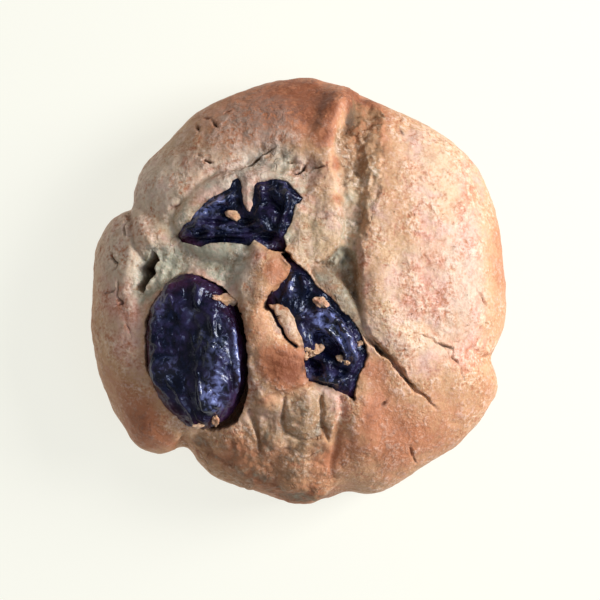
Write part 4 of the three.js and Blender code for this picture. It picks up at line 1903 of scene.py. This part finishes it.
@dataclass(frozen=True)
class Raisin:
    """One raisin: a flattened, wrinkled body with its own dents and ridges."""

    seat: RaisinSeat
    seed: float
    dents: tuple[Swell, ...] = ()
    ridges: tuple[Ridge, ...] = ()
    bulge: float = 0.5
    wrinkle: float = 0.30
    crinkle: float = 0.15
    stretch: tuple[float, float] = (1.0, 1.5)
    thin_rim: float = 0.7
    # Swells of painted sheen: a bluish reflection painted into the skin's colour, which also makes
    # it glossier.
    sheen: tuple[Swell, ...] = ()
    ball_level: int = 7

    def build(self, dome: CookieDome, material: bpy.types.Material) -> bpy.types.Object:
        """Builds the raisin.

        Args:
            dome: The cookie's plain form, on which the raisin leans.
            material: The skin's finish.

        Returns:
            The dressed piece, which stands for its CAD node.
        """
        bm = bmesh.new()
        bmesh.ops.create_icosphere(bm, subdivisions=self.ball_level, radius=1.0)
        bm.verts.index_update()
        middle, axes = self.seat.frame(dome)
        body, out = self._body(coordinates(bm))
        world = middle + body @ axes
        x, y = world[:, 0], world[:, 1]
        up = ease(out[:, 2], 0.0, 0.6)
        share = self.seat.share(body)
        relief, ridge = self._wrinkles(body, share)
        relief += (total(self.dents, x, y) + total(self.ridges, x, y)) * up
        if self.seat.lap > 0:
            shown = ease(self.seat.window.inside(x, y), -0.2, 0.8)
            relief = np.minimum(relief, 0) * (0.4 + 0.6 * shown) + np.maximum(relief, 0) * shown
        body = body + out * relief[:, None]
        move_to(bm, middle + body @ axes)
        across = self.seat.half[0]
        side = 0.3 + 0.7 * ease(-body[:, 0], -0.4 * across, 0.5 * across)
        paint(bm, "ridge", ridge)
        paint(bm, "thin", np.clip(self.thin_rim * side * ease(share, 0.74, 1.0), 0, 1))
        # Painted sheen, from the sheen swells.
        paint(bm, "sheen", np.clip(total(self.sheen, x, y) * up, 0, 1.5))
        piece = make_piece(f"{self.seat.node}_skin", bm, material)
        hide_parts(self.seat.node)
        return piece

    def _wrinkles(self, body: Array, share: Array) -> Pair:
        """Works out the skin's own swells, wrinkles and creases.

        Args:
            body: The smooth body's places.
            share: How far each is from the raisin's middle line, as a share of its half sizes.

        Returns:
            Their heights in millimetres, and how far each place is up a wrinkle, from 0 to 1.
        """
        bent = body * np.array((self.stretch[0], 1 / self.stretch[1], 1.0))
        bent = bent + 0.9 * np.stack([grain(body, 3.5, self.seed + k) for k in (1, 2, 3)], axis=1)
        swell = np.clip(np.abs(grain(bent, 3.6, self.seed + 7)) * 2.6, 0, 1)
        crest = folds(bent, 2.4, self.seed + 4)
        web = folds(bent, 1.1, self.seed + 5)
        calm = 1 - 0.7 * ease(share, 0.75, 1.0)
        relief = (self.bulge * (swell - 0.7) + self.wrinkle * (crest - 0.5)) * calm
        relief += self.crinkle * (web - 0.5) + 0.05 * grain(bent, 0.45, self.seed + 6)
        return relief, np.clip(0.6 * crest + 0.4 * web, 0, 1)

    def _body(self, directions: Array) -> tuple[Array, Array]:
        """Works out the raisin's smooth body in its own axes.

        Args:
            directions: The ball's unit directions, one a row.

        Returns:
            The places in millimetres and the outward unit normals, one a row.
        """
        n = self.seat.squareness
        flat = np.hypot(directions[:, 0], directions[:, 1])
        spread = np.where(flat > 1e-9, flat ** (2 / n) / np.maximum(flat, 1e-9), 0.0)
        across, along, through = self.seat.half
        body = np.stack(
            (
                directions[:, 0] * spread * across,
                directions[:, 1] * spread * along,
                np.sign(directions[:, 2]) * np.abs(directions[:, 2]) ** (2 / n) * through,
            ),
            axis=1,
        )
        s = np.hypot(body[:, 0] / across, body[:, 1] / along)
        slope = s ** (n - 2)
        out = np.stack(
            (
                slope * body[:, 0] / across**2,
                slope * body[:, 1] / along**2,
                np.sign(body[:, 2]) * np.abs(body[:, 2] / through) ** (n - 1) / through,
            ),
            axis=1,
        )
        return body, out / np.maximum(np.linalg.norm(out, axis=1), 1e-12)[:, None]


LEFT_RAISIN = Raisin(
    seat=SEATS[0],
    seed=31.0,
    dents=(
        Swell(-14.8, -5.8, 3.6, 5.0, -1.15, 5, 2.4),
        Swell(-15.0, -14.0, 2.6, 3.0, -0.45, 10, 1.8),
        Swell(-9.6, -9.0, 1.7, 4.6, 0.30, 4, 1.6),
        Swell(-11.2, -13.4, 1.5, 2.2, 0.40, 0, 1.8),
        Swell(-9.2, -4.0, 1.6, 1.8, 0.25, 0, 1.6),
    ),
    ridges=(
        Ridge.along(
            (-9.4, -3.2, 0.4, 0.2), (-8.3, -5.5, 0.4, 0.5), (-7.9, -9, 0.35, 0.6),
            (-8.1, -12.6, 0.4, 0.5), (-8.6, -14.6, 0.4, 0.2),
        ),
        Ridge.along(
            (-17.0, -10.9, 0.3, 0.15), (-15.6, -13.4, 0.25, 0.3), (-14.2, -15.6, 0.25, 0.25),
            (-12.9, -17.2, 0.3, 0.1),
        ),
        Ridge.along(
            (-12.9, -10.4, 0.35, 0.3), (-12.6, -12.6, 0.35, 0.45), (-12.3, -14.6, 0.35, 0.35),
            (-11.9, -16.0, 0.3, 0.1),
        ),
        Ridge.along(
            (-16.6, 0.4, 0.6, 0.3), (-18.4, -2.6, 0.6, 0.4), (-18.9, -7, 0.6, 0.35),
            (-18.2, -11, 0.6, 0.3), (-16.6, -14.2, 0.5, 0.2),
        ),
        Ridge.along(
            (-17.4, -1.8, 0.25, 0.25), (-16.4, -0.6, 0.22, 0.3), (-16.2, -1.9, 0.22, 0.3),
            (-14.6, -0.9, 0.25, 0.2),
        ),
        Ridge.along((-16.6, -2.5, 0.25, 0.25), (-15.2, -2.2, 0.22, 0.25), (-14.4, -1.6, 0.25, 0.1)),
        Ridge.along(
            (-13.0, -1.6, 0.5, 0.35), (-11.0, -3.4, 0.4, 0.4), (-10.6, -5.8, 0.4, 0.3),
            (-11.6, -8.0, 0.4, 0.2),
        ),
        Ridge.along(
            (-14.6, -8.8, 0.3, 0.2), (-12.8, -8.0, 0.35, 0.3), (-12.2, -5.6, 0.35, 0.35),
            (-12.5, -4.4, 0.3, 0.1),
        ),
    ),  # fmt: skip
    sheen=(
        Swell(-10.9, -13.0, 1.7, 2.3, 0.95, 0, 2.0),
        Swell(-10.4, -8.4, 1.6, 3.4, 0.34, 4, 1.6),
        Swell(-13.6, -2.6, 0.5, 0.5, 0.80),
        Swell(-12.6, -5.8, 0.4, 0.9, 0.90, -20),
        Swell(-16.8, -10.2, 1.4, 1.4, 0.45, 0, 1.5),
        Swell(-18.0, -2.0, 0.8, 2.4, 0.35, -25),
        Swell(-8.0, -9.0, 0.35, 4.6, 0.80, 2, 2.0),
        Swell(-8.4, -4.8, 0.7, 1.6, 0.30, 0),
    ),
    bulge=0.5,
    wrinkle=0.40,
    crinkle=0.12,
)

UPPER_RAISIN = Raisin(
    seat=SEATS[1],
    seed=52.0,
    dents=(
        Swell(-10.0, 6.4, 5.5, 0.9, -0.9, 2, 1.3),
        Swell(-3.2, 6.2, 1.6, 1.4, -0.9, 0, 1.2),
        Swell(-6.8, 8.6, 1.2, 1.2, -0.5),
        Swell(-3.2, 12.2, 2.0, 2.4, 0.35),
        Swell(-11.0, 11.2, 3.0, 1.0, 0.25, 20),
    ),
    ridges=(
        Ridge.along(
            (-15.2, 8.0, 0.40, 0.5), (-12.6, 8.4, 0.36, 0.75), (-10.4, 8.1, 0.34, 0.8),
            (-8.6, 8.6, 0.34, 0.8), (-7.0, 8.2, 0.34, 0.7), (-4.8, 8.6, 0.4, 0.6),
        ),
        Ridge.along(
            (-15.2, 7.0, 0.36, 0.5), (-12.6, 6.9, 0.32, 0.7), (-9.6, 7.1, 0.32, 0.75),
            (-7.0, 7.0, 0.32, 0.6), (-5.0, 7.4, 0.36, 0.4),
        ),
        Ridge.along((-13.8, 9.0, 0.30, 0.3), (-11.4, 9.4, 0.30, 0.5), (-9.4, 9.2, 0.30, 0.4)),
        Ridge.along(
            (-12.8, 10.4, 0.35, 0.4), (-11.2, 11.0, 0.35, 0.7), (-9.4, 11.2, 0.35, 0.7),
            (-8.6, 12.4, 0.35, 0.4),
        ),
        Ridge.along(
            (-2.4, 14.2, 0.40, 0.4), (-1.4, 12.4, 0.40, 0.7), (-1.5, 10.4, 0.40, 0.7),
            (-2.4, 8.2, 0.40, 0.6), (-2.6, 6.4, 0.4, 0.4),
        ),
        Ridge.along((-4.8, 13.4, 0.35, 0.4), (-4.6, 11.6, 0.35, 0.6), (-5.2, 10.2, 0.35, 0.3)),
        Ridge.along((-4.8, 12.2, 0.3, 0.3), (-3.2, 12.6, 0.3, 0.5), (-1.8, 11.9, 0.3, 0.3)),
        Ridge.along((-5.0, 9.9, 0.3, 0.4), (-3.4, 10.2, 0.3, 0.5), (-2.0, 9.6, 0.3, 0.3)),
    ),  # fmt: skip
    sheen=(
        Swell(-11.4, 10.8, 2.0, 0.8, 1.5, 22),
        Swell(-9.9, 11.9, 0.5, 0.5, 0.9),
        Swell(-14.0, 9.2, 1.2, 0.8, 0.5, 20),
        Swell(-10.5, 8.0, 4.5, 0.35, 0.4, 2),
        Swell(-1.8, 13.2, 0.5, 1.0, 0.30, 30),
    ),
    wrinkle=0.42,
    crinkle=0.22,
    stretch=(0.7, 1.0),
)

MIDDLE_RAISIN = Raisin(
    seat=SEATS[2],
    seed=73.0,
    dents=(
        Swell(3.6, -6.8, 1.9, 1.1, -2.6, -50, 1.5),
        Swell(1.6, -9.8, 1.2, 0.9, -2.0, 0, 1.3),
        Swell(5.2, -10.2, 1.8, 0.5, -0.6, -20),
        Swell(1.0, -1.6, 0.8, 1.6, -0.6, 30),
        Swell(4.4, -4.4, 1.5, 2.4, 0.28, 35, 1.5),
        Swell(4.0, -11.4, 2.4, 0.9, 0.40, -10, 1.5),
    ),
    ridges=(
        Ridge.along(
            (-1.4, 3.6, 0.4, 0.2), (-0.9, 1.6, 0.4, 0.4), (-1.2, 0.2, 0.4, 0.4),
            (-2.0, -0.9, 0.35, 0.2),
        ),
        Ridge.along((0.6, 1.6, 0.4, 0.3), (0.9, 0.2, 0.45, 0.5), (0.4, -1.6, 0.4, 0.3)),
        Ridge.along(
            (-0.2, -3.2, 0.35, 0.5), (1.8, -3.3, 0.4, 0.9), (3.6, -2.6, 0.45, 0.9),
            (5.2, -3.8, 0.5, 1.0), (6.4, -6.0, 0.5, 1.0), (7.2, -8.6, 0.5, 0.8),
        ),
        Ridge.along(
            (2.2, -4.4, 0.4, 0.4), (3.6, -5.0, 0.4, 0.8), (5.0, -6.4, 0.4, 0.8),
            (5.9, -8.2, 0.4, 0.6),
        ),
        Ridge.along(
            (2.2, -11.0, 0.4, 0.4), (4.2, -11.4, 0.4, 0.5), (6.2, -11.0, 0.4, 0.5),
            (7.2, -9.4, 0.4, 0.3),
        ),
    ),  # fmt: skip
    sheen=(
        Swell(4.1, -4.6, 1.6, 2.4, 1.7, 35, 1.8),
        Swell(6.5, -7.4, 0.9, 1.6, 1.0, 15, 1.4),
        Swell(3.6, -11.2, 2.2, 0.7, 0.60, -8, 1.4),
        Swell(-1.0, 1.4, 0.5, 1.5, 0.80, 10),
        Swell(1.6, -3.0, 1.4, 0.4, 0.60, -5),
        Swell(1.4, -5.6, 1.0, 1.0, 0.35, 0),
    ),
    wrinkle=0.48,
    crinkle=0.20,
)


# ---------------------------------------------------------------- crumbs


@dataclass(frozen=True)
class CrumbSet:
    """Bits of dough that stick to the raisins.

    Each spot holds x, y, half width, half length, height and turn in degrees.
    """

    spots: Rows = (
        (-9.2, -1.2, 1.4, 0.75, 0.55, -8), (-7.8, -1.7, 0.8, 0.6, 0.5, 0),
        (-10.7, -16.3, 0.5, 0.9, 0.6, 10), (-12.9, -17.2, 0.7, 0.35, 0.4, 5),
        (2.6, -1.3, 0.8, 0.6, 0.5, -15), (3.3, -1.6, 0.6, 0.45, 0.4, -15),
        (7.8, -6.7, 0.42, 0.35, 0.4, 0), (2.5, -7.3, 0.65, 0.5, 0.5, -30),
        (1.6, -8.0, 0.6, 0.5, 0.5, 10), (5.4, -8.6, 0.5, 0.4, 0.5, -25),
        (6.1, -9.1, 0.45, 0.3, 0.4, -25), (-8.4, 9.7, 0.9, 0.58, 0.6, -12),
        (0.9, -8.3, 0.4, 0.5, 0.4, 0), (2.0, -7.8, 0.5, 0.4, 0.6, 0),
        (1.2, -7.4, 0.35, 0.3, 0.3, 0), (-10.4, -0.9, 0.6, 0.35, 0.3, -20),
    )  # fmt: skip
    tints: tuple[tuple[Paint, float], ...] = (
        (Paint.CREAM, 0.2),
        (Paint.FLOUR, 0.0),
        (Paint.PIT, 0.0),
        (Paint.CRUMB, 0.5),
        (Paint.BLUSH, 0.25),
    )
    ball_level: int = 4

    def build(
        self, raisins: list[bpy.types.Object], material: bpy.types.Material
    ) -> bpy.types.Object:
        """Builds the crumbs as one piece that lies on the raisins.

        Args:
            raisins: The raisins' objects.
            material: The crust's finish.

        Returns:
            The dressed piece.
        """
        depsgraph = bpy.context.evaluated_depsgraph_get()
        trees = [BVHTree.FromObject(raisin, depsgraph) for raisin in raisins]
        bm = bmesh.new()
        for index, (x, y, across, along, height, turn) in enumerate(self.spots):
            spot = self._land(trees, x, y)
            if spot is None:
                continue
            seat, normal = spot
            ball = bmesh.ops.create_icosphere(bm, subdivisions=self.ball_level, radius=1.0)
            lean = Vector((0, 0, 1)).rotation_difference(normal)
            spin = lean @ Quaternion((0, 0, 1), math.radians(turn))
            local = self._roughened(np.array([v.co for v in ball["verts"]], float), index)
            local = local * np.array((across, along, height))
            for vertex, place in zip(ball["verts"], local.tolist()):
                vertex.co = spin @ Vector(place) + seat
        places = coordinates(bm)
        paint(bm, Paint.BAKE.value, 0.34 + 0.25 * grain(places, 1.6, 5))
        for kind, amount in self.tints:
            paint(bm, kind.value, np.full(len(places), amount))
        return make_piece("dough_crumbs", bm, material)

    @staticmethod
    def _roughened(ball: Array, index: int) -> Array:
        """Makes a ball as uneven as a torn crumb.

        Args:
            ball: Its vertices, one a row.
            index: The crumb's number, which picks its pattern.

        Returns:
            The moved vertices.
        """
        spot = ball + 9.0 * index
        swollen = 0.80 + 0.30 * lumps(spot, 0.7, 3) + 0.62 * grain(spot, 0.9, 4)
        swollen = np.clip(swollen + 0.14 * grain(spot, 0.35, 5), 0.35, 1.6)
        return ball * swollen[:, None]

    @staticmethod
    def _land(trees: list[BVHTree], x: float, y: float) -> tuple[Vector, Vector] | None:
        """Finds where a crumb dropped on the raisins comes to rest.

        Args:
            trees: The raisins' surfaces.
            x: Place across the plan, in millimetres.
            y: Place up the plan, in millimetres.

        Returns:
            The place in millimetres and the way that the crumb faces, or None if it misses.
        """
        start = Vector((x * MM, y * MM, 0.05))
        hits = [tree.ray_cast(start, Vector((0, 0, -1))) for tree in trees]
        landed = [(hit[0], hit[1]) for hit in hits if hit[0] is not None]
        if not landed:
            return None
        place, normal = max(landed, key=lambda hit: hit[0].z)
        return place / MM, normal.slerp(Vector((0, 0, 1)), 0.5)


# ---------------------------------------------------------------- the studio


@dataclass(frozen=True)
class Studio:
    """Pale floor, soft lights and a camera that looks straight down."""

    lens: float = 85.0
    sensor: float = 36.0
    view_width: float = 82.1
    aim: tuple[float, float] = (0.2, -1.15)
    waist: float = 5.0

    def build(self) -> None:
        """Builds the floor, the lights, the surroundings and the camera."""
        self._floor()
        self._light("key_light", (0.262, 0.07, 0.179), 0.15, 1.42, (1.0, 0.98, 0.95))
        self._light("sky_light", (0.216, -0.10, 0.38), 0.20, 0.30, (0.62, 0.76, 1.0))
        self._surroundings((1.0, 0.95, 0.89), 0.25)
        self._camera()
        bpy.context.scene.view_settings.view_transform = "Standard"

    def _floor(self) -> None:
        """Lays a wide, pale floor just under the cookie."""
        bm = bmesh.new()
        bmesh.ops.create_grid(bm, x_segments=1, y_segments=1, size=3.0)
        bmesh.ops.translate(bm, verts=bm.verts, vec=(0, 0, -0.00005))
        mesh = bpy.data.meshes.new("floor")
        bm.to_mesh(mesh)
        bm.free()
        mesh.materials.append(BoardFinish().material())
        floor = bpy.data.objects.new("floor", mesh)
        bpy.context.scene.collection.objects.link(floor)

    @staticmethod
    def _light(name: str, place: Row, size: float, power: float, colour: Row) -> None:
        """Adds a square soft light that faces the cookie.

        Args:
            name: The light's name.
            place: Its place in metres.
            size: Its width in metres.
            power: Its power in watts.
            colour: Its colour.
        """
        data = bpy.data.lights.new(name, "AREA")
        data.size = size
        data.energy = power
        data.color = colour
        light = bpy.data.objects.new(name, data)
        light.location = place
        facing = (Vector((0, 0, 0.012)) - Vector(place)).to_track_quat("-Z", "Y")
        light.rotation_euler = facing.to_euler()
        bpy.context.scene.collection.objects.link(light)

    @staticmethod
    def _surroundings(colour: Row, strength: float) -> None:
        """Sets an even light all round.

        Args:
            colour: Its colour.
            strength: Its brightness.
        """
        world = bpy.data.worlds.new("surroundings")
        world.use_nodes = True
        background = world.node_tree.nodes["Background"]
        background.inputs["Color"].default_value = (*colour, 1.0)
        background.inputs["Strength"].default_value = strength
        bpy.context.scene.world = world

    def _camera(self) -> None:
        """Adds the camera, straight above the cookie."""
        data = bpy.data.cameras.new("camera")
        data.lens = self.lens
        data.sensor_width = self.sensor
        data.clip_start = 0.01
        data.clip_end = 20.0
        away = self.view_width * MM * self.lens / self.sensor
        camera = bpy.data.objects.new("camera", data)
        camera.location = (self.aim[0] * MM, self.aim[1] * MM, self.waist * MM + away)
        bpy.context.scene.collection.objects.link(camera)
        bpy.context.scene.camera = camera


def report(piece: bpy.types.Object) -> None:
    """Logs a piece's name and size.

    Args:
        piece: The finished piece.
    """
    low, high = (Vector(corner) for corner in (piece.bound_box[0], piece.bound_box[6]))
    size = (high - low) / MM
    log.info("%s: %d faces, %.1f x %.1f x %.1f mm", piece.name, len(piece.data.polygons), *size)


def main() -> None:
    """Builds the studio and every piece of the cookie."""
    logging.basicConfig(level=logging.INFO, format="%(name)s: %(message)s")
    Studio().build()
    dough = Dough()
    crust = dough.build()
    report(crust)
    plump = RaisinFinish("plump_raisin_skin", 0.045).material()
    dried = RaisinFinish("dried_raisin_skin", 0.085).material()
    raisins = []
    for raisin, skin in ((LEFT_RAISIN, plump), (UPPER_RAISIN, dried), (MIDDLE_RAISIN, dried)):
        made = raisin.build(dough.dome, skin)
        report(made)
        raisins.append(made)
    report(CrumbSet().build(raisins, crust.data.materials[0]))


if __name__ == "__main__":
    main()
